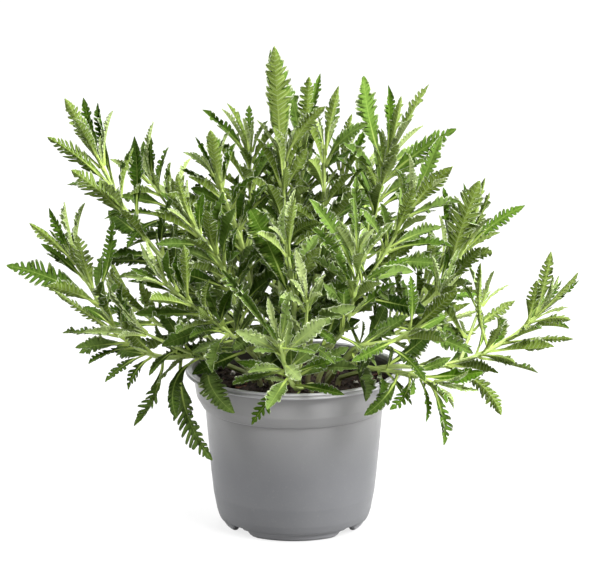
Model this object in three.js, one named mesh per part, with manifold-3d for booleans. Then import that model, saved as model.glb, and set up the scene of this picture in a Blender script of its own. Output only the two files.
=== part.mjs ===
// A young lavender of the toothed-leaf kind in a grey plastic nursery pot. Millimetres, +Z up.
// The origin is the middle of the pot's foot, and the plant's first side looks towards -Y.
import * as THREE from "three";
import { mergeVertices } from "three/addons/utils/BufferGeometryUtils.js";
import Module from "manifold-3d";

const wasm = await Module();
wasm.setup();

// Driving dimensions of the pot, which is a standard 13 cm nursery pot.
const RIM_RADIUS = 65;
const RIM_INSIDE = 60.2;
const POT_HEIGHT = 97;
const WALL = 1.2;
const BASE_PLATE = 5;
const FOOT_INSIDE = 38.2;
const POT_SIDES = 30;

// The outside of the pot from the foot up, as [radius, height].
const POT_OUTSIDE = [
  [39.5, 0],
  [42.2, 1.2],
  [44.6, 4.2],
  [46.2, 9],
  [48.5, 21],
  [49.7, 32],
  [53.4, 73.6],
  [55.1, 74.4],
  [58.6, 80.4],
  [60.6, 93.8],
  [RIM_RADIUS, 94.4],
  [RIM_RADIUS, POT_HEIGHT],
];

// Heights of the inside's corners from the lip down, each with the height of the outside that
// it lies behind.
const POT_INSIDE = [[93, 93], [80.8, 80.8], [75.2, 74.4], [74.4, 73.6], [32, 32.6], [10, 10.6]];

// Notches between the pot's feet: where they are in degrees, and half their width.
const NOTCHES = [47, 133, 227, 313];
const NOTCH_HALF_FOOT = 9.5;
const NOTCH_HALF_TOP = 5.5;
const NOTCH_HEIGHT = 4.2;
const DRAIN_HOLES = 6;
const DRAIN_RADIUS = 3;
const DRAIN_CIRCLE = 26;
const DRAIN_SIDES = 6;

// Driving dimensions of the peat.
const SOIL_TOP = 86;
const SOIL_BOTTOM = 6.6;
const SOIL_LUMP = 1.1;
const SOIL_SIDES = 24;
const SOIL_RINGS = [0.25, 0.5, 0.75, 1];
const SOIL_WALLS = [79, 74.4, 21, SOIL_BOTTOM];
const SOIL_GAP = 0.6;
const ROOT_DEPTH = 12;
const HOLE_RADIUS = 2.5;
const HOLE_SIDES = 6;
const CLEARANCE = 0.3;

// Driving dimensions of the stems and blades.
const STEM_RADIUS = 1.7;
const TWIG_RADIUS = 1.25;
const TIP_SHARE = 0.55;
const STEM_STEPS = 6;
const TWIG_STEPS = 3;
const BLADE_THICKNESS = 0.9;
const ROOT_OFFSET = 0.8;
const WELD = 0.1;

// A blade's outline as shares of its length: where it starts to widen, is full and is widest,
// and where its teeth begin and end. STALK_WIDTH is a share of the blade's width.
const WIDEN_FROM = 0.1;
const WIDEN_TO = 0.6;
const WIDEST = 0.68;
const STALK_WIDTH = 0.15;
const BLUNTNESS = 0.7;
const TEETH_FROM = 0.34;
const FEW_TEETH_FROM = 0.4;
const TEETH_TO = 0.96;
const TOOTH_PEAK = 0.62;
const SHOULDER = 0.26;

// How each kind of leaf is cut: half width as a share of length, depth of the teeth as a share
// of the half width, teeth on a side, and how far the two halves fold up, in radians.
const KINDS = {
  toothed: { half: 0.092, depth: 0.36, teeth: 3, fold: 0.14 },
  comb: { half: 0.102, depth: 0.55, teeth: 4, fold: 0.08 },
  broad: { half: 0.112, depth: 0.32, teeth: 4, fold: 0.2 },
  narrow: { half: 0.05, depth: 0.3, teeth: 2, fold: 0.25 },
  plain: { half: 0.1, depth: 0.4, teeth: 3, fold: 0.14 },
  small: { half: 0.105, depth: 0.36, teeth: 2, fold: 0.2 },
  young: { half: 0.085, depth: 0, teeth: 0, fold: 0.35 },
};

// How leaves grow. A blade twists over its stalk to turn a face to the light or outwards, and
// its outer part, past clearFrom of its length, keeps clear of the other leaves of its stem.
const STALK_SHARE = 0.3;
const LIGHT = new THREE.Vector3(0, -0.8, 0.6);
const LISTED = { facing: { light: 1.3, radial: 0.4, share: 0.85 }, clearFrom: 0.4 };
const PAIRED = { facing: { light: 0.8, radial: 1 }, clearFrom: 0.15 };
const LEAN_OPEN = [52, 32];
const LEAN_YOUNG = [32, 12];
const SIZE_YOUNG = [0.62, 0.4];
const SMALL_LEAF = 34;
const SEED = 20261;

// The space round the plant, in cells that each hold one stem's growth.
const CELL = 2;
const SAMPLE = 1.5;
const FIELD = 420;
const FIELD_CORNER = new THREE.Vector3(-210.137, -210.137, -20.137);
const BARE_STALK = 5;
const FLOOR_CLEARANCE = 4;
const POT_CLEARANCE = 2.5;

// The leafy stems. Each stands in its own hole at root, and its first axis is the main shoot.
// Later axes are side shoots, which leave the main shoot at the share from. Points are in mm.
// pairs counts the pairs of leaves that the growth rule sets on an axis, long is the length of
// the longest of them, and tuft is the number of pairs of young leaves at the shoot's end.
// A leaf that shows by itself is listed as [share of the axis, x, y, z of its tip, kind, turn].
const STEMS = {
  far_left: {
    root: [-20, -8],
    axes: [
      {
        points: [[-54, -26, 110], [-80, -30, 111], [-102, -26, 123], [-116, -22, 144], [-129, -18, 166]],
        pairs: 2, long: 38, tuft: 1,
        leaves: [
          [0.76, -168, -30, 170, "comb", 0.4],
          [0.98, -154, -28, 193, "toothed", 0.3],
          [0.96, -147, -8, 195, "toothed", 0.2],
          [0.9, -150, -8, 174, "toothed", 0.4],
          [0.82, -126, -38, 187, "comb", 0.4],
          [0.81, -108, -6, 188, "toothed", -0.4],
          [0.73, -103, -52, 161, "toothed", 0.4],
          [0.56, -141, -40, 155, "narrow", -0.4],
          [0.55, -128, -8, 109, "toothed", 0.5],
          [0.52, -121, -50, 113, "toothed", 0.5],
          [0.46, -108, -54, 102, "toothed", 0.5],
          [0.43, -99, -26, 91, "comb", 0.7],
          [0.38, -93, -44, 72, "comb", -0.7],
          [0.22, -70, -62, 82, "toothed", 1.3],
          [0.3, -45, -60, 60, "comb", 0.9],
          [0.14, -37, -72, 86, "broad", 1.7],
        ],
      },
      { from: 0.2, points: [[-64, -36, 116], [-87, -52, 131]], pairs: 2, long: 26, tuft: 1, leaves: [] },
    ],
  },
  upper_left: {
    root: [-16, 2],
    axes: [
      {
        points: [[-37, -12, 128], [-62, -14, 150], [-76, -12, 164], [-98, -11, 193], [-114, -12, 224]],
        pairs: 2, long: 40, tuft: 1,
        leaves: [
          [0.97, -135, -18, 264, "toothed", 0.3],
          [0.99, -125, -30, 256, "toothed", 0.3],
          [1.0, -124, 0, 261, "toothed", 0.2],
          [0.9, -114, 10, 256, "toothed", 0.3],
          [0.91, -144, -34, 243, "comb", 0.4],
          [0.77, -132, -30, 222, "comb", 0.4],
          [0.76, -97, 14, 234, "toothed", -0.3],
        ],
      },
      {
        from: 0.18,
        points: [[-35, 10, 140], [-47, 12, 166], [-69, 14, 185], [-86, 14, 208]],
        pairs: 2, long: 38, tuft: 1,
        leaves: [
          [0.97, -86, 6, 236, "toothed", 0.2],
          [0.93, -78, 32, 224, "comb", 0.3],
          [0.9, -94, -6, 224, "toothed", 0.3],
          [0.75, -100, -22, 176, "toothed", 0.9],
          [0.68, -113, -14, 190, "narrow", 0.9],
          [0.5, -71, -20, 166, "toothed", 0.5],
        ],
      },
    ],
  },
  left_mid: {
    root: [-13, -14],
    axes: [
      {
        points: [[-33, -34, 138], [-42, -38, 168], [-60, -38, 193]],
        pairs: 2, long: 40, tuft: 1,
        leaves: [
          [0.97, -67, -48, 225, "toothed", 0.3],
          [0.75, -50, -62, 207, "comb", 0.3],
        ],
      },
      {
        from: 0.12,
        points: [[-33, -48, 126], [-49, -56, 141], [-76, -66, 165]],
        pairs: 2, long: 34, tuft: 1,
        leaves: [
          [0.95, -94, -60, 173, "toothed", 0.3],
          [0.97, -79, -76, 184, "toothed", 0.2],
          [0.85, -67, -80, 189, "toothed", -0.3],
          [0.45, -62, -78, 137, "toothed", 0.6],
        ],
      },
    ],
  },
  mid_left: {
    root: [-8, 5],
    axes: [
      {
        points: [[-24, -2, 140], [-32, -8, 178], [-47, -12, 218]],
        pairs: 2, long: 42, tuft: 1,
        leaves: [
          [0.97, -58, -12, 240, "toothed", 0.3],
          [0.92, -48, -32, 248, "broad", 0.2],
          [0.66, -71, -32, 217, "toothed", 0.4],
        ],
      },
      {
        from: 0.4,
        points: [[-26, 4, 190], [-26, 6, 228]],
        pairs: 2, long: 40, tuft: 1,
        leaves: [
          [0.95, -54, 4, 252, "toothed", 0.4],
          [0.98, -38, 0, 259, "toothed", 0.3],
          [0.98, -27, 22, 252, "toothed", 0.3],
          [0.96, -19, 14, 253, "toothed", 0.3],
        ],
      },
    ],
  },
  top_left: {
    root: [-2, -4],
    axes: [
      {
        points: [[-5, -6, 140], [-6, -5, 180], [-6, -6, 226]],
        pairs: 2, long: 44, tuft: 1,
        leaves: [
          [0.95, -16, -14, 294, "broad", 0.15],
          [0.97, -9, 6, 289, "toothed", 0.1],
          [0.99, 17, -26, 262, "toothed", 0.4],
        ],
      },
      {
        from: 0.4,
        points: [[2, 12, 176], [4, 16, 202], [6, 18, 226]],
        pairs: 2, long: 38, tuft: 1,
        leaves: [
          [0.95, -3, 18, 267, "toothed", 0.2],
          [0.98, 8, 8, 272, "toothed", 0.2],
          [0.99, 12, 28, 271, "toothed", 0.2],
        ],
      },
    ],
  },
  top_right: {
    root: [8, 2],
    axes: [
      {
        points: [[12, -2, 145], [17, -2, 190], [18, -2, 233]],
        pairs: 2, long: 42, tuft: 1,
        leaves: [
          [0.95, 26, -9, 270, "toothed", 0.2],
          [0.92, 24, 10, 262, "toothed", 0.2],
          [0.9, 43, -24, 247, "broad", 0.9],
        ],
      },
      {
        from: 0.35,
        points: [[28, 14, 180], [28, 20, 214]],
        pairs: 2, long: 38, tuft: 1,
        leaves: [
          [0.95, 35, 24, 246, "toothed", 0.3],
          [0.85, 44, 36, 235, "toothed", 0.4],
        ],
      },
    ],
  },
  upper_right: {
    root: [14, -6],
    axes: [
      {
        points: [[36, -2, 146], [46, 2, 180], [51, 4, 207], [55, 5, 222]],
        pairs: 2, long: 42, tuft: 1,
        leaves: [
          [0.93, 39, -5, 274, "broad", -0.2],
          [0.98, 58, 12, 266, "toothed", 0.2],
          [0.99, 64, -10, 264, "toothed", 0.2],
          [0.96, 80, 4, 268, "toothed", 0.3],
          [0.78, 94, -4, 246, "comb", 0.2],
          [0.68, 45, -18, 226, "toothed", 0.2],
        ],
      },
      {
        from: 0.2,
        points: [[40, -18, 150], [56, -22, 176], [69, -22, 202]],
        pairs: 2, long: 40, tuft: 1,
        leaves: [
          [0.97, 90, -20, 241, "toothed", 0.2],
          [0.9, 90, -38, 230, "broad", 0.3],
          [0.75, 70, -40, 216, "comb", 0.2],
        ],
      },
    ],
  },
  right: {
    root: [20, 3],
    axes: [
      {
        points: [[52, 2, 118], [80, 4, 136], [95, 5, 155], [103, 6, 172]],
        pairs: 2, long: 40, tuft: 1,
        leaves: [
          [0.98, 112, 0, 213, "toothed", 0.2],
          [0.97, 101, 14, 206, "toothed", 0.2],
          [0.94, 119, -12, 205, "toothed", 0.3],
          [0.9, 137, 10, 194, "toothed", 0.5],
          [0.84, 88, -12, 209, "comb", -0.4],
          [0.7, 106, -18, 218, "comb", -0.4],
          [0.6, 111, -24, 175, "toothed", 0.4],
        ],
      },
    ],
  },
  front_mid: {
    root: [2, -16],
    axes: [
      {
        points: [[0, -44, 136], [0, -52, 157], [-5, -58, 188]],
        pairs: 2, long: 38, tuft: 1,
        leaves: [
          [0.5, -25, -66, 208, "broad", 0.2],
          [0.9, -5, -68, 218, "toothed", 0.2],
          [0.3, -36, -80, 131, "broad", 0.6],
        ],
      },
      {
        from: 0.15,
        points: [[26, -50, 128], [36, -58, 158], [37, -62, 183]],
        pairs: 2, long: 38, tuft: 1,
        leaves: [
          [0.97, 36, -66, 216, "narrow", 0.1],
          [0.9, 32, -52, 225, "toothed", 0.2],
          [0.75, 10, -68, 217, "toothed", 0.4],
          [0.62, 7, -78, 207, "broad", 0.3],
          [0.7, 56, -68, 174, "toothed", 0.5],
        ],
      },
    ],
  },
  front_low: {
    root: [10, -21],
    axes: [
      {
        points: [[2, -50, 97], [-2, -66, 106], [-5, -80, 118], [-8, -94, 135]],
        pairs: 2, long: 34, tuft: 1,
        leaves: [
          [0.95, -40, -84, 177, "broad", 0.3],
          [0.97, 12, -98, 131, "toothed", 0.3],
          [0.9, -22, -100, 132, "broad", 0.9],
          [0.7, -34, -86, 108, "broad", 0.4],
          [0.5, -23, -76, 82, "comb", 1.3],
          [0.4, 29, -80, 102, "toothed", 0.6],
          [0.98, -16, -107, 152, "toothed", 0.2],
          [0.99, -2, -102, 168, "toothed", 0.1],
        ],
      },
      {
        from: 0.3,
        points: [[6, -66, 128], [8, -82, 158]],
        pairs: 1, long: 30, tuft: 1,
        leaves: [
          [0.5, 23, -88, 122, "toothed", 0.9],
          [0.7, 24, -92, 136, "broad", 0.7],
        ],
      },
    ],
  },
  front_right: {
    root: [19, -14],
    axes: [
      {
        points: [[36, -38, 118], [60, -48, 126], [79, -52, 140], [85, -54, 154]],
        pairs: 2, long: 34, tuft: 1,
        leaves: [
          [0.62, 95, -74, 162, "broad", -0.3],
          [0.6, 103, -72, 124, "broad", 0.4],
          [0.5, 33, -78, 122, "toothed", 0.5],
          [0.42, 77, -78, 110, "toothed", 0.5],
        ],
      },
      {
        from: 0.15,
        points: [[54, -50, 108], [69, -58, 108], [82, -64, 104]],
        pairs: 2, long: 30, tuft: 1,
        leaves: [
          [0.95, 88, -68, 68, "comb", 0.6],
          [0.8, 76, -80, 86, "toothed", 0.6],
          [0.5, 41, -74, 88, "broad", 0.8],
          [0.65, 59, -80, 90, "comb", 0.7],
        ],
      },
    ],
  },
  far_right: {
    root: [26, -6],
    axes: [
      {
        points: [[54, -28, 104], [87, -24, 104], [109, -16, 108], [129, -8, 117], [146, -4, 130]],
        pairs: 2, long: 36, tuft: 1,
        leaves: [
          [0.98, 151, -6, 169, "toothed", 0.2],
          [0.92, 143, -22, 155, "comb", 0.2],
          [0.96, 160, 10, 148, "toothed", 0.2],
          [0.98, 168, -12, 159, "toothed", 0.3],
          [0.99, 170, 6, 149, "toothed", 0.3],
          [0.93, 164, -26, 136, "toothed", 0.4],
          [0.77, 146, -46, 133, "toothed", 0.5],
          [0.74, 165, -30, 122, "narrow", 0.4],
          [0.61, 130, -46, 112, "toothed", 0.5],
          [0.67, 115, -22, 158, "narrow", -0.8],
          [0.63, 120, -36, 131, "toothed", 0.4],
          [0.42, 124, -42, 80, "toothed", 1.0],
          [0.4, 104, -52, 106, "toothed", 0.5],
        ],
      },
      {
        from: 0.5,
        points: [[106, 4, 118], [112, 12, 132]],
        pairs: 1, long: 30, tuft: 1,
        leaves: [
          [0.5, 132, 16, 134, "broad", 0.3],
          [0.95, 111, 2, 160, "toothed", 0.2],
          [0.9, 97, 16, 150, "toothed", 0.3],
        ],
      },
    ],
  },
  back_left: {
    root: [-15, 16],
    axes: [
      {
        points: [[-38, 34, 132], [-58, 52, 158], [-72, 66, 184]],
        pairs: 3, long: 46, tuft: 1, leaves: [],
      },
      { from: 0.25, points: [[-38, 46, 118], [-58, 68, 130]], pairs: 3, long: 42, tuft: 1, leaves: [] },
    ],
  },
  back_left_low: {
    root: [-24, 6],
    axes: [
      {
        points: [[-52, 26, 108], [-80, 40, 112], [-104, 50, 126]],
        pairs: 3, long: 44, tuft: 1, leaves: [],
      },
    ],
  },
  back_mid: {
    root: [-4, 16],
    axes: [
      {
        points: [[-8, 34, 140], [-10, 46, 176], [-10, 54, 206]],
        pairs: 3, long: 46, tuft: 1, leaves: [],
      },
      { from: 0.3, points: [[-20, 58, 140], [-28, 80, 168]], pairs: 3, long: 40, tuft: 1, leaves: [] },
    ],
  },
  back_low: {
    root: [2, 25],
    axes: [
      {
        points: [[2, 50, 108], [4, 70, 120], [8, 84, 142]],
        pairs: 3, long: 40, tuft: 1, leaves: [],
      },
      { from: 0.3, points: [[-14, 68, 106], [-30, 86, 112]], pairs: 3, long: 38, tuft: 1, leaves: [] },
    ],
  },
  back_right: {
    root: [13, 14],
    axes: [
      {
        points: [[28, 38, 140], [36, 56, 170], [42, 66, 198]],
        pairs: 3, long: 46, tuft: 1, leaves: [],
      },
      { from: 0.25, points: [[42, 58, 130], [56, 80, 148]], pairs: 3, long: 42, tuft: 1, leaves: [] },
    ],
  },
  back_right_low: {
    root: [23, 13],
    axes: [
      {
        points: [[52, 30, 112], [76, 46, 124], [92, 60, 146]],
        pairs: 3, long: 44, tuft: 1, leaves: [],
      },
      { from: 0.3, points: [[68, 54, 104], [86, 72, 104]], pairs: 3, long: 38, tuft: 1, leaves: [] },
    ],
  },
};

// Ways that a leaf may swing round its stem and lean, in degrees, and then be shorter, until
// it hangs free of what has already grown.
const LEANS = [
  [0, 0], [5, 0], [-5, 0], [0, 4], [0, -4], [10, 0], [-10, 0], [0, 8], [0, -8],
  [18, 0], [-18, 0], [14, 10], [-14, 10], [14, -10], [-14, -10],
];
const SHORTER = [1, 0.86, 0.72];

const { degToRad: radians, lerp, smoothstep } = THREE.MathUtils;

// A solid for joining and cutting, out of corners and triangles.
function solid(corners, triangles) {
  const made = new wasm.Manifold(
    new wasm.Mesh({
      numProp: 3,
      vertProperties: new Float32Array(corners.flatMap((p) => p.toArray())),
      triVerts: new Uint32Array(triangles.flat()),
    }),
  );
  if (made.volume() > 0) return made;
  return solid(corners, triangles.map(([a, b, c]) => [a, c, b]));
}

function solidOf(geometry) {
  const bare = geometry.clone();
  bare.deleteAttribute("normal");
  bare.deleteAttribute("uv");
  const merged = mergeVertices(bare, 1e-4);
  return new wasm.Manifold(
    new wasm.Mesh({
      numProp: 3,
      vertProperties: new Float32Array(merged.attributes.position.array),
      triVerts: new Uint32Array(merged.index.array),
    }),
  );
}

// The largest piece of a solid as one geometry, with loose scraps and sealed hollows dropped.
function geometryOf(made) {
  const pieces = made.simplify(WELD).decompose().sort((a, b) => b.volume() - a.volume());
  const mesh = pieces[0].getMesh();
  const geometry = new THREE.BufferGeometry();
  geometry.setAttribute("position", new THREE.BufferAttribute(new Float32Array(mesh.vertProperties), 3));
  geometry.setIndex(new THREE.BufferAttribute(new Uint32Array(mesh.triVerts), 1));
  geometry.computeVertexNormals();
  return geometry;
}

// An upright hole's cutter, from one height to another.
function plug(radius, low, high, x, y, sides) {
  const cylinder = new THREE.CylinderGeometry(radius, radius, high - low, sides)
    .rotateX(Math.PI / 2)
    .translate(x, y, (low + high) / 2);
  return solidOf(cylinder);
}

// Radius of the pot's outside at a height, read along its profile.
function potRadius(z) {
  const above = POT_OUTSIDE.findIndex((p) => p[1] > z);
  if (above < 1) return above === 0 ? POT_OUTSIDE[0][0] : RIM_RADIUS;
  const [r0, z0] = POT_OUTSIDE[above - 1];
  const [r1, z1] = POT_OUTSIDE[above];
  return lerp(r0, r1, (z - z0) / (z1 - z0));
}

// The pot: a thin turned shell on a raised plate, with four notches between its feet and a
// ring of drain holes.
function potSolid() {
  const floor = BASE_PLATE + WALL;
  const inside = [...POT_INSIDE, [floor, floor + WALL / 2]].map(([z, level]) => {
    return [potRadius(level) - WALL, z];
  });
  const profile = [
    [0, BASE_PLATE],
    [FOOT_INSIDE - 0.8, BASE_PLATE],
    [FOOT_INSIDE, 0],
    ...POT_OUTSIDE,
    [RIM_INSIDE, POT_HEIGHT],
    ...inside,
    [0, floor],
  ].map(([r, z]) => new THREE.Vector2(r, z));
  let pot = solidOf(new THREE.LatheGeometry(profile, POT_SIDES).rotateX(Math.PI / 2));
  const notch = new THREE.Shape([
    new THREE.Vector2(-NOTCH_HALF_FOOT, -1),
    new THREE.Vector2(NOTCH_HALF_FOOT, -1),
    new THREE.Vector2(NOTCH_HALF_TOP, NOTCH_HEIGHT),
    new THREE.Vector2(-NOTCH_HALF_TOP, NOTCH_HEIGHT),
  ]);
  for (const degrees of NOTCHES) {
    const cutter = new THREE.ExtrudeGeometry(notch, { depth: 20, bevelEnabled: false })
      .rotateX(Math.PI / 2)
      .translate(0, FOOT_INSIDE + 18, 0)
      .rotateZ(radians(degrees - 90));
    pot = pot.subtract(solidOf(cutter));
  }
  for (let i = 0; i < DRAIN_HOLES; i++) {
    const turn = (i / DRAIN_HOLES) * 2 * Math.PI;
    const x = DRAIN_CIRCLE * Math.cos(turn);
    const y = DRAIN_CIRCLE * Math.sin(turn);
    pot = pot.subtract(plug(DRAIN_RADIUS, 0, 2 * floor, x, y, DRAIN_SIDES));
  }
  return pot;
}

// Height of the peat's crumbly top, a sum of crossing waves.
function soilHeight(x, y) {
  const wave = Math.sin(x * 0.31 + 1) * Math.cos(y * 0.27) + 0.6 * Math.sin(x * 0.13 - y * 0.22 + 2);
  return SOIL_TOP + SOIL_LUMP * wave;
}

// The peat: a plug of the pot's inside with a lumpy top, and a plain hole for each stem.
function soilSolid() {
  const corners = [new THREE.Vector3(0, 0, soilHeight(0, 0))];
  const addRing = (radius, heightAt) => {
    for (let i = 0; i < SOIL_SIDES; i++) {
      const turn = (i / SOIL_SIDES) * 2 * Math.PI;
      const x = radius * Math.cos(turn);
      const y = radius * Math.sin(turn);
      corners.push(new THREE.Vector3(x, y, heightAt(x, y)));
    }
  };
  const edge = potRadius(SOIL_TOP) - WALL - SOIL_GAP;
  for (const share of SOIL_RINGS) addRing(edge * share, soilHeight);
  for (const z of SOIL_WALLS) addRing(potRadius(z - 1) - WALL - SOIL_GAP, () => z);
  corners.push(new THREE.Vector3(0, 0, SOIL_BOTTOM));
  const triangles = [];
  const bands = SOIL_RINGS.length + SOIL_WALLS.length;
  const last = 1 + (bands - 1) * SOIL_SIDES;
  for (let i = 0; i < SOIL_SIDES; i++) {
    const next = (i + 1) % SOIL_SIDES;
    triangles.push([0, 1 + i, 1 + next]);
    for (let band = 0; band < bands - 1; band++) {
      const a = 1 + band * SOIL_SIDES;
      const b = a + SOIL_SIDES;
      triangles.push([a + i, b + i, b + next], [a + i, b + next, a + next]);
    }
    triangles.push([last + i, corners.length - 1, last + next]);
  }
  let soil = solid(corners, triangles);
  const low = SOIL_TOP - ROOT_DEPTH - CLEARANCE;
  for (const { root } of Object.values(STEMS)) {
    soil = soil.subtract(plug(HOLE_RADIUS, low, SOIL_TOP + 6, root[0], root[1], HOLE_SIDES));
  }
  return soil;
}

// A smooth curve through an axis's points. Share 0 is where its leafy part starts, and share 1
// is its tip. A main shoot has a buried part before that, of as many points as skipped says.
class Axis {
  constructor(points, skipped) {
    this.points = points;
    this.skipped = skipped;
    const chord = points[points.length - 1].clone().sub(points[0]);
    this.reference = new THREE.Vector3(chord.y, -chord.x, 0);
    if (this.reference.length() < 15) this.reference.set(0, -1, 0);
    this.reference.normalize();
  }
  // The slope at a point, no steeper than its shorter neighbour allows, so the curve never loops.
  slope(i) {
    const before = this.points[Math.max(i - 1, 0)];
    const after = this.points[Math.min(i + 1, this.points.length - 1)];
    const here = this.points[i];
    const reach = Math.min(
      i > 0 ? here.distanceTo(before) : Infinity,
      i < this.points.length - 1 ? here.distanceTo(after) : Infinity,
    );
    return after.clone().sub(before).setLength(reach);
  }
  // The point at a share, and the stem's own directions there.
  place(share) {
    const last = this.points.length - 1;
    const along = Math.min(this.skipped + share * (last - this.skipped), last - 1e-6);
    const i = Math.floor(along);
    const f = along - i;
    const [p, q, m, n] = [this.points[i], this.points[i + 1], this.slope(i), this.slope(i + 1)];
    const point = p.clone().multiplyScalar((1 + 2 * f) * (1 - f) * (1 - f))
      .addScaledVector(m, f * (1 - f) * (1 - f))
      .addScaledVector(q, f * f * (3 - 2 * f))
      .addScaledVector(n, f * f * (f - 1));
    const tangent = p.clone().sub(q).multiplyScalar(6 * f * (f - 1))
      .addScaledVector(m, (1 - f) * (1 - 3 * f))
      .addScaledVector(n, f * (3 * f - 2))
      .normalize();
    const side = this.reference.clone()
      .addScaledVector(tangent, -this.reference.dot(tangent))
      .normalize();
    const up = side.clone().cross(tangent);
    return { point, tangent, side, up };
  }
}

// A stem's curves: the main shoot stands up from the foot of its hole, and each side shoot
// leaves the main one.
function axesOf(stem) {
  const made = [];
  const [x, y] = stem.root;
  for (const axis of stem.axes) {
    const listed = axis.points.map((p) => new THREE.Vector3(...p));
    if (axis.from === undefined) {
      const foot = new THREE.Vector3(x, y, SOIL_TOP - ROOT_DEPTH);
      const neck = new THREE.Vector3(x, y, SOIL_TOP - 1);
      const collar = new THREE.Vector3(x * 1.08, y * 1.08, SOIL_TOP + 6);
      made.push(new Axis([foot, neck, collar, ...listed], 2));
    } else {
      made.push(new Axis([made[0].place(axis.from).point, ...listed], 0));
    }
  }
  return made;
}

// Half width of a blade at a share of its length: a slim stalk, then widest past the middle.
function halfWidth(share) {
  if (share < WIDEST) return lerp(STALK_WIDTH, 1, smoothstep(share, WIDEN_FROM, WIDEN_TO));
  const past = (share - WIDEST) / (1 - WIDEST);
  return Math.pow(Math.cos((past * Math.PI) / 2), BLUNTNESS);
}

// A leaf's midrib is an arc that leaves the stem at an angle and turns evenly. Its blade's
// upper face looks to the stem's tip, and twists over its stalk.
class Leaf {
  constructor({ base, tangent, out, start, turn, length, kind, facing, clearFrom }) {
    Object.assign(this, { base, tangent, out, start, turn, length, kind, facing, clearFrom });
    this.foot = base.clone().addScaledVector(out, ROOT_OFFSET);
    this.half = KINDS[kind].half * length;
    this.side = tangent.clone().cross(out);
    this.roll = 0;
    const middle = this.at(0.6 * length, 0);
    const radial = new THREE.Vector3(middle.point.x, middle.point.y, 0).normalize();
    const light = LIGHT.clone().multiplyScalar(facing.light).addScaledVector(radial, facing.radial);
    const twist = Math.atan2(light.dot(this.side), light.dot(middle.normal));
    const nearest = Math.abs(twist) > Math.PI / 2 ? twist - Math.sign(twist) * Math.PI : twist;
    this.roll = facing.share * nearest;
  }
  // A point of the blade, along its midrib and across it, and the upper face's direction there.
  at(along, across) {
    const angle = this.start + (this.turn * along) / this.length;
    const reach = this.length / this.turn;
    const forward = this.tangent.clone().multiplyScalar(Math.cos(angle))
      .addScaledVector(this.out, Math.sin(angle));
    const face = forward.clone().cross(this.side);
    const twist = this.roll * Math.min(along / (STALK_SHARE * this.length), 1);
    const normal = face.clone().multiplyScalar(Math.cos(twist))
      .addScaledVector(this.side, Math.sin(twist));
    const wide = this.side.clone().multiplyScalar(Math.cos(twist))
      .addScaledVector(face, -Math.sin(twist));
    const point = this.foot.clone()
      .addScaledVector(this.tangent, reach * (Math.sin(angle) - Math.sin(this.start)))
      .addScaledVector(this.out, reach * (Math.cos(this.start) - Math.cos(angle)))
      .addScaledVector(wide, across)
      .addScaledVector(normal, Math.abs(across) * Math.tan(KINDS[this.kind].fold));
    return { point, normal };
  }
  // Points all over the blade, a sample apart, each with its share of the length.
  samples() {
    const found = [];
    for (let along = BARE_STALK; along < this.length; along += SAMPLE) {
      const half = this.half * halfWidth(along / this.length);
      const steps = Math.ceil(half / SAMPLE);
      for (let i = -steps; i <= steps; i++) {
        found.push([this.at(along, (half * i) / steps).point, along / this.length]);
      }
    }
    return found;
  }
  // One side's toothed edge as [along, across], and the places along the midrib that meet it.
  outline() {
    const { teeth, depth } = KINDS[this.kind];
    const edge = [[0, 0.6]];
    const spine = [0];
    const width = (share) => this.half * halfWidth(share);
    if (teeth > 3) edge.push([SHOULDER * this.length, width(SHOULDER)]);
    if (teeth === 0) {
      const middle = 0.55;
      edge.push([middle * this.length, width(middle)]);
      spine.push(middle * this.length);
    }
    const first = teeth > 2 ? TEETH_FROM : FEW_TEETH_FROM;
    const pitch = (TEETH_TO - first) / teeth;
    for (let i = 0; i < teeth; i++) {
      const notch = first + pitch * i;
      const tooth = notch + pitch * TOOTH_PEAK;
      if (i > 0) {
        edge.push([notch * this.length, width(notch) * (1 - depth)]);
        spine.push(notch * this.length);
      }
      edge.push([tooth * this.length, width(tooth)]);
    }
    return { edge, spine };
  }
  // The closed blade: both faces share the toothed edge and part along the midrib.
  solid() {
    const { edge, spine } = this.outline();
    const corners = [];
    const add = (along, across, lift) => {
      const { point, normal } = this.at(along, across);
      corners.push(point.addScaledVector(normal, lift));
      return corners.length - 1;
    };
    const left = edge.map(([along, across]) => add(along, across, 0));
    const right = edge.map(([along, across]) => add(along, -across, 0));
    const tip = add(this.length, 0, 0);
    left.push(tip);
    right.push(tip);
    const ends = [...edge.map(([along]) => along), this.length];
    const top = spine.map((along) => add(along, 0, BLADE_THICKNESS / 2));
    const bottom = spine.map((along) => add(along, 0, -BLADE_THICKNESS / 2));
    const triangles = [[top[0], right[0], left[0]], [bottom[0], left[0], right[0]]];
    let i = 0;
    let k = 0;
    while (i < ends.length - 1) {
      if (k < spine.length - 1 && spine[k + 1] <= ends[i + 1]) {
        triangles.push([top[k], left[i], top[k + 1]], [top[k], top[k + 1], right[i]]);
        triangles.push([bottom[k], bottom[k + 1], left[i]], [bottom[k], right[i], bottom[k + 1]]);
        k++;
      } else {
        triangles.push([top[k], left[i], left[i + 1]], [top[k], right[i + 1], right[i]]);
        triangles.push([bottom[k], left[i + 1], left[i]], [bottom[k], right[i], right[i + 1]]);
        i++;
      }
    }
    return solid(corners, triangles);
  }
}

// A leaf that ends at a known tip.
function leafTo(place, tip, kind, turn) {
  const { point: base, tangent } = place;
  const chord = tip.clone().sub(base);
  const along = chord.dot(tangent);
  const out = chord.clone().addScaledVector(tangent, -along);
  const angle = Math.atan2(out.length(), along);
  out.normalize();
  const length = (chord.length() * (turn / 2)) / Math.sin(turn / 2);
  return { base, tangent, out, start: angle - turn / 2, turn, length, kind, ...LISTED };
}

// The cells hold a stem's number where it has grown, below zero where that is a leaf's outer
// part, and 0 where they are free.
const row = FIELD / CELL;
const cells = new Int16Array(row * row * row);

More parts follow.
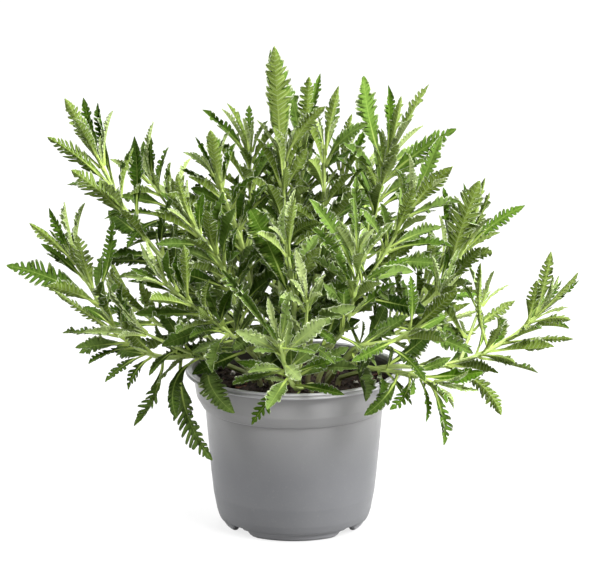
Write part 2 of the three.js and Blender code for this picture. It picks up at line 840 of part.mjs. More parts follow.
function cellOf(point) {
  const x = Math.floor((point.x - FIELD_CORNER.x) / CELL);
  const y = Math.floor((point.y - FIELD_CORNER.y) / CELL);
  const z = Math.floor((point.z - FIELD_CORNER.z) / CELL);
  return (z * row + y) * row + x;
}

// Marks a point's cell and all that touch it.
function fill(point, mark) {
  const middle = cellOf(point);
  for (const dz of [-1, 0, 1]) {
    for (const dy of [-1, 0, 1]) {
      for (const dx of [-1, 0, 1]) {
        const cell = middle + (dz * row + dy) * row + dx;
        if (cells[cell] === 0) cells[cell] = mark;
      }
    }
  }
}

// True where a point is in the pot's wall or the peat, or too near them or the floor.
function inPot(point) {
  const radius = Math.hypot(point.x, point.y);
  if (point.z < FLOOR_CLEARANCE) return true;
  if (point.z > POT_HEIGHT + 2 || radius > potRadius(point.z) + POT_CLEARANCE) return false;
  return point.z < SOIL_TOP + 4 || radius > RIM_INSIDE - 4;
}

// True where a leaf would touch the pot, the peat, another stem or an older leaf's outer part.
function blocked(leaf, number) {
  for (const [point, share] of leaf.samples()) {
    if (inPot(point)) return true;
    const mark = cells[cellOf(point)];
    if (mark !== 0 && Math.abs(mark) !== number) return true;
    if (mark === -number && share > leaf.clearFrom) return true;
  }
  return false;
}

// The leaf as near as can be to what was asked, or null where there is no room for it.
function settle(leaf, number) {
  for (const shorter of SHORTER) {
    for (const [swing, lean] of LEANS) {
      const out = leaf.out.clone().applyAxisAngle(leaf.tangent, radians(swing));
      const length = leaf.length * shorter;
      const tried = new Leaf({ ...leaf, out, length, start: leaf.start + radians(lean) });
      if (!blocked(tried, number)) {
        for (const [point, share] of tried.samples()) {
          fill(point, share > tried.clearFrom ? -number : number);
        }
        return tried;
      }
    }
  }
  return null;
}

// A square stem, as the mint family has, that tapers to its tip.
function stemSolid(axis, radius, steps) {
  const corners = [];
  const triangles = [];
  const last = axis.points.length - 1;
  const start = -axis.skipped / (last - axis.skipped);
  for (let i = 0; i <= steps; i++) {
    const { point, side, up } = axis.place(lerp(start, 1, i / steps));
    const size = radius * lerp(1, TIP_SHARE, i / steps);
    for (const [a, b] of [[1, 0], [0, 1], [-1, 0], [0, -1]]) {
      corners.push(point.clone().addScaledVector(side, a * size).addScaledVector(up, b * size));
    }
  }
  for (let i = 0; i < steps; i++) {
    for (let k = 0; k < 4; k++) {
      const a = 4 * i + k;
      const b = 4 * i + ((k + 1) % 4);
      triangles.push([a, b, b + 4], [a, b + 4, a + 4]);
    }
  }
  const end = 4 * steps;
  triangles.push([0, 2, 1], [0, 3, 2], [end, end + 1, end + 2], [end, end + 2, end + 3]);
  return solid(corners, triangles);
}

// One leaf of a pair, or of a tuft of young ones, at a place on its shoot. High runs from 0 at
// the first pair to 1 at the last.
function pairedLeaf(place, round, listed, young, high, random) {
  const out = place.side.clone().multiplyScalar(Math.cos(round))
    .addScaledVector(place.up, Math.sin(round));
  const lean = lerp(...(young ? LEAN_YOUNG : LEAN_OPEN), high);
  const size = young ? lerp(...SIZE_YOUNG, high) : lerp(0.74, 1, Math.sin(Math.PI * high));
  const length = listed.long * size * lerp(0.88, 1.12, random());
  const start = radians(lean + (random() - 0.5) * 16);
  const turn = young ? 0.2 : lerp(0.1, 0.8, random());
  const kind = young ? "young" : length > SMALL_LEAF ? "plain" : "small";
  const facing = { ...PAIRED.facing, share: young ? 0.2 : lerp(0.1, 0.9, random()) };
  const { point: base, tangent } = place;
  return { base, tangent, out, start, turn, length, kind, facing, clearFrom: PAIRED.clearFrom };
}

// Grows every stem's leaves: first those that show by themselves, then pairs by rule, each
// pair crossing the last as lavender's do, and a tuft of young leaves at each shoot's end.
function grow() {
  const names = Object.keys(STEMS);
  const axes = names.map((name) => axesOf(STEMS[name]));
  const leaves = names.map(() => []);
  let seed = SEED;
  const random = () => {
    seed = (seed * 16807) % 2147483647;
    return seed / 2147483647;
  };
  const keep = (n, leaf) => {
    const settled = settle(leaf, n + 1);
    if (settled) leaves[n].push(settled);
  };
  names.forEach((name, n) => {
    for (const axis of axes[n]) {
      for (let share = 0; share < 1; share += 0.01) fill(axis.place(share).point, n + 1);
    }
  });
  names.forEach((name, n) => {
    STEMS[name].axes.forEach((listed, i) => {
      for (const [share, x, y, z, kind, turn] of listed.leaves) {
        keep(n, leafTo(axes[n][i].place(share), new THREE.Vector3(x, y, z), kind, turn));
      }
    });
  });
  names.forEach((name, n) => {
    STEMS[name].axes.forEach((listed, i) => {
      const first = listed.from === undefined ? 0.3 : 0.35;
      const start = random() * Math.PI;
      for (let pair = listed.pairs + listed.tuft - 1; pair >= 0; pair--) {
        const young = pair >= listed.pairs;
        const high = young ? (pair - listed.pairs + 1) / listed.tuft : pair / listed.pairs;
        const place = axes[n][i].place(young ? lerp(0.93, 0.995, high) : lerp(first, 0.9, high));
        for (const half of [0, 1]) {
          const round = start + (pair * Math.PI) / 2 + half * Math.PI + (random() - 0.5) * 0.5;
          keep(n, pairedLeaf(place, round, listed, young, high, random));
        }
      }
    });
  });
  return { names, axes, leaves };
}

const MATERIALS = {
  pot: new THREE.MeshStandardMaterial({ color: 0x7f8183, roughness: 0.45, metalness: 0 }),
  soil: new THREE.MeshStandardMaterial({ color: 0x2e211a, roughness: 0.95, metalness: 0 }),
  leaf: new THREE.MeshStandardMaterial({ color: 0x6b8a3a, roughness: 0.7, metalness: 0 }),
};

const plant = new THREE.Group();

function addMesh(name, made, material) {
  const mesh = new THREE.Mesh(geometryOf(made), material);
  mesh.name = name;
  plant.add(mesh);
}

addMesh("pot", potSolid(), MATERIALS.pot);
addMesh("soil", soilSolid(), MATERIALS.soil);

const { names, axes, leaves } = grow();
names.forEach((name, n) => {
  const shoots = axes[n].map((axis, i) =>
    i === 0 ? stemSolid(axis, STEM_RADIUS, STEM_STEPS) : stemSolid(axis, TWIG_RADIUS, TWIG_STEPS),
  );
  const blades = leaves[n].map((leaf) => leaf.solid());
  addMesh("stem_" + name, wasm.Manifold.union([...shoots, ...blades]), MATERIALS.leaf);
});

export default plant;
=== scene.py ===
"""A young toothed-leaf lavender in a grey nursery pot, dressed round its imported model.

The shapes are in millimetres, as in the part's own source, and become metres where a mesh is
made. The studio, the drain holes and the finishes are in metres.
"""

import math

import bmesh
import bpy
import mathutils
import numpy as np
from mathutils import Euler, Matrix, Vector


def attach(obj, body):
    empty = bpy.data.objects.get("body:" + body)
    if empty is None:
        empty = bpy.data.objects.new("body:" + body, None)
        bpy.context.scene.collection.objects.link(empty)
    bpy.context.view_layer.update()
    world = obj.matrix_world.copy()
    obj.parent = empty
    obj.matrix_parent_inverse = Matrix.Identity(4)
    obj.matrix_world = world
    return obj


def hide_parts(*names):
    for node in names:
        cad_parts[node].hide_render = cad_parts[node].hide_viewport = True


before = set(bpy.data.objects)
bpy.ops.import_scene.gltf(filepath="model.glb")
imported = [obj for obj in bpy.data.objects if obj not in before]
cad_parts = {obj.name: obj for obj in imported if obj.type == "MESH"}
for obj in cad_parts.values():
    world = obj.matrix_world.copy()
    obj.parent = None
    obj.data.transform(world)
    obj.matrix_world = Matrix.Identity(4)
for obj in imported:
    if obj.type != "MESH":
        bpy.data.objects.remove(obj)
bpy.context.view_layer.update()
MM = 0.001


# The studio. A long lens looks a little down on the plant, as the photograph's does, and pale
# paper lies under it. Four soft boxes light it: strong ones from the right and from over the
# front right, a weaker one from over the back and a weak one from the left.
EYE = (0.0036, -2.46, 0.752)
AIM = Vector((0.0036, 0.0, 0.147))
LENS = 255.0
CLIP_END = 50
PAPER_HALF = 7.0
PAPER_COLOUR = (0.33, 0.33, 0.33, 1)
PAPER_ROUGHNESS = 0.9
PAPER_GLOW = 0.65
GLOW_STRENGTH = 1.2
WHITE = (1, 1, 1, 1)
ROOM_LIGHT = 0.065
# Each soft box's place, its size and its watts.
SOFT_BOXES = {
    "soft_box_front": ((1.2, -1.5, 1.9), 1.2, 126),
    "soft_box_right": ((1.9, -0.1, 1.5), 2.0, 145),
    "soft_box_left": ((-1.8, 0.1, 1.2), 1.4, 70),
    "soft_box_back": ((0.0, 1.5, 2.2), 1.3, 88),
}


def placed(name, data):
    """A new object in the scene."""
    made = bpy.data.objects.new(name, data)
    bpy.context.scene.collection.objects.link(made)
    return made


def aimed(name, data, place):
    """A camera or a light at a place, turned to look at the plant."""
    made = placed(name, data)
    made.location = place
    made.rotation_euler = (AIM - Vector(place)).to_track_quat("-Z", "Y").to_euler()
    return made


def new_material(name):
    """A material and its empty node tree."""
    material = bpy.data.materials.new(name)
    material.use_nodes = True
    material.node_tree.nodes.clear()
    return material, material.node_tree


def node(tree, kind, values=(), **settings):
    """A shader node with its settings. A value is a number, a colour or another node's socket."""
    made = tree.nodes.new("ShaderNode" + kind)
    for name, value in settings.items():
        setattr(made, name, value)
    for key, value in dict(values).items():
        if isinstance(value, bpy.types.NodeSocket):
            tree.links.new(value, made.inputs[key])
        else:
            made.inputs[key].default_value = value
    return made


def worked(operation, *values, clamp=False):
    """The result of a sum. A value is a number or another node's socket."""
    tree = next(value for value in values if isinstance(value, bpy.types.NodeSocket)).id_data
    made = node(tree, "Math", enumerate(values), operation=operation, use_clamp=clamp)
    return made.outputs[0]


def times(*values):
    return worked("MULTIPLY", *values)


camera = bpy.data.cameras.new("camera")
camera.lens = LENS
camera.clip_end = CLIP_END
bpy.context.scene.camera = aimed("camera", camera, EYE)

for name, (place, size, watts) in SOFT_BOXES.items():
    light = bpy.data.lights.new(name, "AREA")
    light.shape = "DISK"
    light.size = size
    light.energy = watts
    aimed(name, light, place)

world = bpy.data.worlds.new("room")
world.use_nodes = True
room = world.node_tree.nodes["Background"].inputs
room["Color"].default_value = WHITE
room["Strength"].default_value = ROOM_LIGHT
bpy.context.scene.world = world
bpy.context.scene.view_settings.view_transform = "Standard"

paper_mesh = bpy.data.meshes.new("paper")
corners = [(x * PAPER_HALF, y * PAPER_HALF, 0) for x, y in ((-1, -1), (1, -1), (1, 1), (-1, 1))]
paper_mesh.from_pydata(corners, [], [(0, 1, 2, 3)])
paper = placed("paper", paper_mesh)
paper_finish, tree = new_material("paper")
lit = node(tree, "BsdfPrincipled", {"Base Color": PAPER_COLOUR, "Roughness": PAPER_ROUGHNESS})
glow = node(tree, "Emission", {"Color": WHITE, "Strength": GLOW_STRENGTH})
share = times(node(tree, "LightPath").outputs["Is Camera Ray"], PAPER_GLOW)
blend = node(tree, "MixShader", {0: share, 1: lit.outputs[0], 2: glow.outputs[0]})
node(tree, "OutputMaterial", {"Surface": blend.outputs[0]})
paper_mesh.materials.append(paper_finish)


# The pot. One thin piece of grey polypropylene from a mould: a rounded lip, a flared collar
# under it, a tapered wall, and a raised floor with drain holes between four low feet.
POT_SEGMENTS = 180
# Corners of its section from the floor's middle round the outside and back, each as radius,
# height and the radius of its rounding, in millimetres.
POT_SECTION = [
    (0, 5, 0), (37.4, 5, 0.3), (38.2, 0, 0.4), (39.6, 0, 0.5), (42.0, 1.3, 2), (42.8, 4.3, 0.3),
    (44.4, 4.7, 0.5), (45.2, 6.2, 4), (46.4, 10.0, 6), (48.5, 21, 12), (49.8, 33, 12),
    (53.3, 73.4, 0.5), (55.0, 74.2, 0.5), (58.5, 80.4, 4), (60.5, 93.8, 0.5), (64.5, 93.9, 0.3),
    (65.1, 94.6, 0.4), (64.2, 95.5, 0.3), (64.2, 96.6, 0.5), (63.6, 97, 0.5), (61.1, 97, 0.9),
    (59.2, 93, 2), (57.2, 80.8, 3), (53.9, 75.2, 0.6), (52.2, 74.4, 0.8), (48.7, 33, 12),
    (45.0, 10, 5), (43.2, 6.2, 2), (0, 6.2, 0),
]
ROUNDING_STEPS = 4
ROUNDING_MOST = 0.45
NOTCHES = [41, 139, 221, 319]
NOTCH_HALF_WIDTH = (10.2, 4.2)
NOTCH_HEIGHT = 5.8
NOTCH_RADIUS = 42.0
DRAIN_HOLES = 6
DRAIN_RADIUS = 0.003
DRAIN_CIRCLE = 0.026
DRAIN_SIDES = 32
DRILL_HEIGHT = 0.0055
DRILL_LONG = 0.004
SHARP_EDGE = math.radians(50)
POT_GREY = (0.106, 0.108, 0.114, 1)
# Dust, whose colour also paints the wall paler towards the top as painted light.
POT_DUST_AND_LIGHT = (0.215, 0.213, 0.212, 1)
# Pale scuffs that are mostly a painted highlight on the lip and painted light on the foot's band.
POT_SCUFF_AND_HIGHLIGHT = (0.50, 0.50, 0.52, 1)
# Painted shade, under the lip and on the inside over the peat.
POT_PAINTED_SHADE = (0.035, 0.029, 0.025, 1)
POT_INDEX = 1.49
# Sizes of its blotches and grain, then its grain's strength and depth.
POT_BLOTCH = 0.018
POT_GRAIN = (0.00035, 0.1, 0.0002)
# Between which heights, and often from which share to which: the wall is painted paler towards the top
# as painted light, the lip's top gets a painted highlight over pale scuffs, and the foot's band is
# painted paler as painted light. Its roughness rises the same way over its patches.
WALL_PAINTED_LIGHT = (0.035, 0.088, 0, 0.85)
LIP_TOP_HIGHLIGHT = (0.0962, 0.0966)
FOOT_PAINTED_LIGHT = (0.0052, 0.0036, 0, 0.22)
SATIN = (0, 1, 0.34, 0.44)
# How much shows of the dust in patches and specks, the painted highlight on the bead, all the painted
# highlight, light and scuffs, and the painted shade under the lip.
DUSTY_PATCHES = 0.07
DUSTY_SPECKS = 0.12
BEAD_HIGHLIGHT_SHARE = 0.4
SCUFF_AND_LIGHT_SHARE = 0.8
UNDER_LIP_SHADE_SHARE = 0.12
# Bands of the wall: where each begins, is full, is full still and ends. The first holds the bead's
# painted highlight, the second the painted shade under the lip.
LIP_BEAD_HIGHLIGHT = (0.0936, 0.094, 0.095, 0.0954)
SHADE_UNDER_LIP = (0.0905, 0.0925, 0.0936, 0.094)
# Where shade is painted on the inside over the peat: inside a cone of this slope and radius, over the
# one height and under the other.
INSIDE_SLOPE = 0.155
INSIDE_RADIUS = (0.0456, 0.0452)
INSIDE_OVER = (0.08, 0.082)
INSIDE_UNDER = (0.0966, 0.0945)
# Shared finishes: limits of the grain's mask, the patches and the speckle in their noise.
GRAIN_LIMITS = (0.4, 0.65)
PATCH_LIMITS = (0.35, 0.7)
SPECKLE_LIMITS = (0.58, 0.74)
SPECKLE_FINER = 14.0


def rounded(corners):
    """The outline through corners given as (radius, height, rounding), with each rounded."""
    points = []
    for i, (r, z, rounding) in enumerate(corners):
        here = Vector((r, z))
        if rounding == 0:
            points.append(here)
            continue
        before = Vector(corners[i - 1][:2]) - here
        after = Vector(corners[i + 1][:2]) - here
        reach = rounding / math.tan(before.angle(after) / 2)
        reach = min(reach, ROUNDING_MOST * before.length, ROUNDING_MOST * after.length)
        start = here + reach * before.normalized()
        end = here + reach * after.normalized()
        for k in range(ROUNDING_STEPS + 1):
            f = k / ROUNDING_STEPS
            points.append((1 - f) ** 2 * start + 2 * f * (1 - f) * here + f * f * end)
    return points


def notched(angle, z):
    """The foot's height, raised over the notches between its feet."""
    for degrees in NOTCHES:
        turn = angle - math.radians(degrees)
        away = abs(math.atan2(math.sin(turn), math.cos(turn))) * NOTCH_RADIUS
        slope = (NOTCH_HALF_WIDTH[0] - away) / (NOTCH_HALF_WIDTH[0] - NOTCH_HALF_WIDTH[1])
        z = max(z, NOTCH_HEIGHT * min(max(slope, 0), 1))
    return z


def turned(section):
    """Points and faces of the pot's section turned about the upright axis, where its ends lie."""
    points = [(0, 0, section[0].y), (0, 0, section[-1].y)]
    rings = section[1:-1]
    count = len(rings)
    faces = []

    def at(s, k):
        return 2 + (s % POT_SEGMENTS) * count + k

    for s in range(POT_SEGMENTS):
        angle = math.tau * s / POT_SEGMENTS
        for p in rings:
            points.append((p.x * math.cos(angle), p.x * math.sin(angle), notched(angle, p.y)))
        faces.append((0, at(s + 1, 0), at(s, 0), at(s, 0)))
        faces.append((1, at(s, count - 1), at(s + 1, count - 1), at(s + 1, count - 1)))
        for k in range(count - 1):
            faces.append((at(s, k), at(s + 1, k), at(s + 1, k + 1), at(s, k + 1)))
    return points, faces


def shaded_object(name, points, faces, materials, slots=None, attributes=()):
    """An object of smooth faces whose hard edges stay hard, from points in millimetres.
    attributes lists its values as (name, kind, domain, numbers)."""
    mesh = bpy.data.meshes.new(name)
    faces = np.asarray(faces)
    mesh.vertices.add(len(points))
    mesh.vertices.foreach_set("co", (np.array(points) * MM).astype(np.float32).ravel())
    mesh.loops.add(faces.size)
    mesh.loops.foreach_set("vertex_index", faces.astype(np.int32).ravel())
    mesh.polygons.add(len(faces))
    starts = np.arange(0, faces.size, faces.shape[1], dtype=np.int32)
    mesh.polygons.foreach_set("loop_start", starts)
    for material in materials:
        mesh.materials.append(material)
    if slots is not None:
        mesh.polygons.foreach_set("material_index", np.asarray(slots, np.int32))
    for title, kind, domain, numbers in attributes:
        values = mesh.attributes.new(title, kind, domain).data
        key = "vector" if kind == "FLOAT_VECTOR" else "value"
        values.foreach_set(key, np.asarray(numbers, np.float32).ravel())
    mesh.update(calc_edges=True)
    mesh.validate()
    mesh.polygons.foreach_set("use_smooth", np.ones(len(mesh.polygons), bool))
    mesh.set_sharp_from_angle(angle=SHARP_EDGE)
    return placed(name, mesh)


def plus(*values):
    """The sum of values from 0 to 1, or 1 where it is more."""
    return worked("ADD", *values, clamp=True)


def noise(place, scale, detail=2.0, roughness=0.5):
    """Noise from 0 to 1, with features of about 1/scale metres."""
    values = {"Vector": place, "Scale": scale, "Detail": detail, "Roughness": roughness}
    return node(place.id_data, "TexNoise", values).outputs["Fac"]


def ramp(value, low, high, start=0.0, end=1.0):
    """A value's smooth step from start to end, as it goes from low to high."""
    values = {"Value": value, "From Min": low, "From Max": high, "To Min": start, "To Max": end}
    return node(value.id_data, "MapRange", values, interpolation_type="SMOOTHSTEP").outputs[0]


def band(value, limits):
    """1 where a value lies between the middle two of four limits, and 0 past the outer two."""
    return times(ramp(value, *limits[:2]), ramp(value, *limits[:1:-1]))


def mixed(tree, share, first, second):
    """A colour that goes from the first to the second as share goes from 0 to 1."""
    return node(tree, "Mix", {0: share, 6: first, 7: second}, data_type="RGBA").outputs[2]


def layered(tree, colour, layers):
    """A colour with others laid over it, each listed as a mask, its share and the colour."""
    for mask, share, over in layers:
        colour = mixed(tree, times(mask, share), colour, over)
    return colour


def object_place(tree):
    return node(tree, "TexCoord").outputs["Object"]


def new_group(name, results):
    """A shader node group that is given a size in metres, the sockets of its results, and how
    many of its size go into a metre."""
    group = bpy.data.node_groups.new(name, "ShaderNodeTree")
    for title, way in [("Size", "INPUT"), *((title, "OUTPUT") for title in results)]:
        group.interface.new_socket(title, in_out=way, socket_type="NodeSocketFloat")
    size = group.nodes.new("NodeGroupInput").outputs["Size"]
    return group, group.nodes.new("NodeGroupOutput").inputs, worked("DIVIDE", 1.0, size)


def grouped(tree, group, size):
    """A node group's results in a material, at a size."""
    return node(tree, "Group", {"Size": size}, node_tree=group).outputs


def skinned(tree, colour, roughness, depth, grain, more=()):
    """A shader of a colour, and the relief on it, whose depth is its strength and distance."""
    values = {"Height": grain["Height"], "Strength": depth[0], "Distance": depth[1]}
    relief = node(tree, "Bump", values).outputs[0]
    values = {"Base Color": colour, "Roughness": roughness, "Normal": relief, **dict(more)}
    return node(tree, "BsdfPrincipled", values).outputs[0], relief


# Fine grain: a small even roughness of a surface, as a height for a bump and a mask for its
# colour. Blotches: wide soft patches with fine speckle over them.
fine_grain, result, per_metre = new_group("fine_grain", ["Height", "Mask"])
grain = noise(object_place(fine_grain), per_metre, detail=3.0, roughness=0.6)
fine_grain.links.new(grain, result["Height"])
fine_grain.links.new(ramp(grain, *GRAIN_LIMITS), result["Mask"])

blotches, result, per_metre = new_group("blotches", ["Patches", "Speckle"])
place = object_place(blotches)
wide = noise(place, per_metre, detail=3.0, roughness=0.55)
blotches.links.new(ramp(wide, *PATCH_LIMITS), result["Patches"])
fine = noise(place, times(per_metre, SPECKLE_FINER))
blotches.links.new(ramp(fine, *SPECKLE_LIMITS), result["Speckle"])

polypropylene, tree = new_material("grey_polypropylene")
patches = grouped(tree, blotches, POT_BLOTCH)
grain = grouped(tree, fine_grain, POT_GRAIN[0])
place = object_place(tree)
up = node(tree, "SeparateXYZ", {0: place}).outputs["Z"]
# Real dust in patches, and the wall painted paler towards the top as painted light.
dust_and_painted_light = plus(times(patches["Patches"], DUSTY_PATCHES), ramp(up, *WALL_PAINTED_LIGHT))
# Painted highlight on the lip's bead and top, over pale scuffs, and painted light on the foot's band.
scuffs_and_painted_light = plus(times(band(up, LIP_BEAD_HIGHLIGHT), BEAD_HIGHLIGHT_SHARE), ramp(up, *LIP_TOP_HIGHLIGHT))
scuffs_and_painted_light = plus(scuffs_and_painted_light, ramp(up, *FOOT_PAINTED_LIGHT))
level = node(tree, "VectorMath", {0: place, 1: (1, 1, 0)}, operation="MULTIPLY").outputs[0]
radius = node(tree, "VectorMath", {0: level}, operation="LENGTH").outputs["Value"]
# Painted shade on the inside of the pot over the peat.
inside_shade = ramp(worked("SUBTRACT", radius, times(up, INSIDE_SLOPE)), *INSIDE_RADIUS)
grey = layered(tree, mixed(tree, dust_and_painted_light, POT_GREY, POT_DUST_AND_LIGHT), [
    (patches["Speckle"], DUSTY_SPECKS, POT_DUST_AND_LIGHT),
    # Painted shade under the lip.
    (band(up, SHADE_UNDER_LIP), UNDER_LIP_SHADE_SHARE, POT_PAINTED_SHADE),
    (scuffs_and_painted_light, SCUFF_AND_LIGHT_SHARE, POT_SCUFF_AND_HIGHLIGHT),
    (inside_shade, times(ramp(up, *INSIDE_OVER), ramp(up, *INSIDE_UNDER)), POT_PAINTED_SHADE),
])
sheen = ramp(patches["Patches"], *SATIN)
skin, relief = skinned(tree, grey, sheen, POT_GRAIN[1:], grain, {"IOR": POT_INDEX})
node(tree, "OutputMaterial", {"Surface": skin})

pot = shaded_object("pot_shell", *turned(rounded(POT_SECTION)), [polypropylene])
drills = bmesh.new()
for i in range(DRAIN_HOLES):
    turn = math.tau * i / DRAIN_HOLES
    x, y = DRAIN_CIRCLE * math.cos(turn), DRAIN_CIRCLE * math.sin(turn)
    bmesh.ops.create_cone(drills, cap_ends=True, segments=DRAIN_SIDES, radius1=DRAIN_RADIUS,
                          radius2=DRAIN_RADIUS, depth=DRILL_LONG,
                          matrix=Matrix.Translation((x, y, DRILL_HEIGHT)))
drill_mesh = bpy.data.meshes.new("drills")
drills.to_mesh(drill_mesh)
drills.free()
drill = placed("drills", drill_mesh)
cut = pot.modifiers.new("drain_holes", "BOOLEAN")
cut.object = drill
cut.operation = "DIFFERENCE"
bpy.context.view_layer.update()
drilled = bpy.data.meshes.new_from_object(pot.evaluated_get(bpy.context.evaluated_depsgraph_get()))
pot.modifiers.clear()
pot.data = drilled
bpy.data.objects.remove(drill)
drilled.set_sharp_from_angle(angle=SHARP_EDGE)
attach(pot, "root")
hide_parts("pot")


# The peat. It fills the pot to a finger's width under the lip, as loose dark crumbs with white
# perlite and slivers of reddish bark among them, and closes round each stem's foot.
SOIL_TOP = 86.0
SOIL_BOTTOM = 6.8
SOIL_EDGE = 57.4
# The waves of its top: how high, how much lower the slanted ones are, and where both start.
# Their turns along x and y are in radians to the millimetre.
SOIL_LUMP = 1.1
SLANTED_SHARE = 0.6
WAVES_START = (1, 2)
CROSSING_WAVES = (0.31, 0.27)
SLANTED_WAVES = (0.13, 0.22)
# Radius and height of its wall's rings, from the top down.
SOIL_WALL = [(55.4, 79), (51.6, 74.4), (46.3, 21), (43.6, 9), (42.0, SOIL_BOTTOM)]
SOIL_RINGS = 52
SOIL_SEGMENTS = 160
CRUMBLE = {"scale": 0.35, "slice": 3.1, "height": 0.9, "fractal": (0.7, 2.1, 4)}
LUMP_FINENESS = 1.7
LUMP_BULGE = 2
LUMP_NOISE_FROM = (-50, 50)
STREWN_TO = 56.0
# Lumps that lie on it: how many, ranges of their size and of each side's share of it, how far
# their middles stand over the peat as a share of their height, and how rough they are.
CRUMBS = (480, (0.5, 1.7), (0.7, 1.2), 0.2, 0.4)
PERLITE = (14, (0.9, 1.9), (0.75, 1.15), 0.45, 0.35)
BARK = 34
BARK_LEAST = (2.5, 0.9, 0.35)
BARK_MOST = (5.5, 1.7, 0.7)
BARK_TILT = 0.3
BARK_LIFT = 0.5
BARK_ROUGH = 0.3
PEAT_DARK = (0.012, 0.008, 0.006, 1)
PEAT_BROWN = (0.045, 0.028, 0.018, 1)
PERLITE_WHITE = (0.36, 0.34, 0.30, 1)
PERLITE_PALE = (0.5, 0.48, 0.44, 1)
BARK_DARK = (0.06, 0.026, 0.016, 1)
BARK_RED = (0.17, 0.062, 0.032, 1)
DULL = {"Specular IOR Level": 0.25}
GRAIN_OF_BLOTCH = 0.12
DARK_GRAIN = 0.4
CRUMB_DEPTH = 0.0005


def soil_height(x, y):
    """Height of the peat's top, a sum of crossing waves, as on the solid."""
    (a, b), (c, d) = CROSSING_WAVES, SLANTED_WAVES
    crossing = math.sin(x * a + WAVES_START[0]) * math.cos(y * b)
    slanted = math.sin(x * c - y * d + WAVES_START[1])
    return SOIL_TOP + SOIL_LUMP * (crossing + SLANTED_SHARE * slanted)


def crumbly_height(x, y):
    """The peat's top with its small crumbs."""
    place = Vector((x * CRUMBLE["scale"], y * CRUMBLE["scale"], CRUMBLE["slice"]))
    return soil_height(x, y) + CRUMBLE["height"] * mathutils.noise.fractal(place, *CRUMBLE["fractal"])


def strewn():
    """A place on the peat's top, evenly drawn."""
    r = STREWN_TO * math.sqrt(draws.uniform())
    turn = draws.uniform(0, math.tau)
    x, y = r * math.cos(turn), r * math.sin(turn)
    return x, y, crumbly_height(x, y)


def add_lump(points, faces, middle, size, turn, rough):
    """Adds one irregular lump: a small ball pushed in and out, squashed and turned."""
    ball = bmesh.new()
    bmesh.ops.create_icosphere(ball, subdivisions=2, radius=1)
    turn = Euler(turn).to_matrix()
    away = Vector(draws.uniform(*LUMP_NOISE_FROM, 3))
    start = len(points)
    for vertex in ball.verts:
        uneven = mathutils.noise.noise(vertex.co * LUMP_FINENESS + away)
        bulge = 1 + rough * uneven * LUMP_BULGE
        shaped = Vector(a * b for a, b in zip(vertex.co, size)) * bulge
        points.append(Vector(middle) + turn @ shaped)
    faces.extend([start + v.index for v in face.verts] for face in ball.faces)
    ball.free()


def add_lumps(points, faces, count, sizes, shares, lift, rough):
    """Points and faces with lumps added to them that lie any way round on the peat's top."""
    for _ in range(count):
        x, y, z = strewn()
        size = draws.uniform(*sizes) * draws.uniform(*shares, 3)
        turn = draws.uniform(0, math.tau, 3)
        add_lump(points, faces, (x, y, z + lift * size[2]), size, turn, rough)
    return points, faces


def soil_material(name, dark, light, size, roughness, strength):
    """A rough, dry, blotched finish for peat, perlite and bark."""
    material, tree = new_material(name)
    patches = grouped(tree, blotches, size)
    grain = grouped(tree, fine_grain, size * GRAIN_OF_BLOTCH)
    colour = mixed(tree, patches["Patches"], dark, light)
    colour = mixed(tree, times(grain["Mask"], DARK_GRAIN), colour, dark)
    skin, _ = skinned(tree, colour, roughness, (strength, CRUMB_DEPTH), grain, DULL)
    node(tree, "OutputMaterial", {"Surface": skin})
    return material


peat_finish = soil_material(
    "moist_peat", PEAT_DARK, PEAT_BROWN, size=0.003, roughness=0.9, strength=0.8)
perlite_finish = soil_material(
    "white_perlite", PERLITE_WHITE, PERLITE_PALE, size=0.002, roughness=0.85, strength=0.5)
bark_finish = soil_material(
    "red_bark", BARK_DARK, BARK_RED, size=0.004, roughness=0.8, strength=0.6)

draws = np.random.default_rng(11)
points = [(0, 0, crumbly_height(0, 0)), (0, 0, SOIL_BOTTOM)]
rings = [(SOIL_EDGE * (i + 1) / SOIL_RINGS, None) for i in range(SOIL_RINGS)] + SOIL_WALL
for r, z in rings:
    for s in range(SOIL_SEGMENTS):
        turn = math.tau * s / SOIL_SEGMENTS
        x, y = r * math.cos(turn), r * math.sin(turn)
        points.append((x, y, crumbly_height(x, y) if z is None else z))
faces = []
last = 2 + (len(rings) - 1) * SOIL_SEGMENTS
for s in range(SOIL_SEGMENTS):
    after = (s + 1) % SOIL_SEGMENTS
    faces += [[0, 2 + s, 2 + after], [1, last + after, last + s]]
    for a in range(2, last, SOIL_SEGMENTS):
        b = a + SOIL_SEGMENTS
        faces += [[a + s, b + s, b + after], [a + s, b + after, a + after]]
peat = shaded_object("peat_crumbs", *add_lumps(points, faces, *CRUMBS), [peat_finish])
perlite = shaded_object("perlite_grains", *add_lumps([], [], *PERLITE), [perlite_finish])

points, faces = [], []
for _ in range(BARK):
    x, y, z = strewn()
    size = draws.uniform(BARK_LEAST, BARK_MOST)
    lie = draws.uniform((-BARK_TILT, -BARK_TILT, 0), (BARK_TILT, BARK_TILT, math.tau))
    add_lump(points, faces, (x, y, z + BARK_LIFT), size, lie, BARK_ROUGH)
bark = shaded_object("bark_slivers", points, faces, [bark_finish])

for piece in (peat, perlite, bark):
    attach(piece, "root")
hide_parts("soil")


# The leafy stems. Each is one square shoot with its side shoots, rooted in the peat, and its
# leaves grow from it in crossing pairs: narrow, felted, folded along a pale midrib, and cut on
# both sides into rounded lobes. The table and the rule below are the part's own, in millimetres.
# How deep a stem is rooted, how far under the peat's top it starts to lean, and how high over it
# and how many times as far out it then is. A leaf starts a little off its shoot's middle.
ROOT_DEPTH = 12
ROOT_BEND = 1
ROOT_RISE = 6
ROOT_SPREAD = 1.08
ROOT_OFFSET = 0.8
POT_HEIGHT = 97
RIM_INSIDE = 60.2
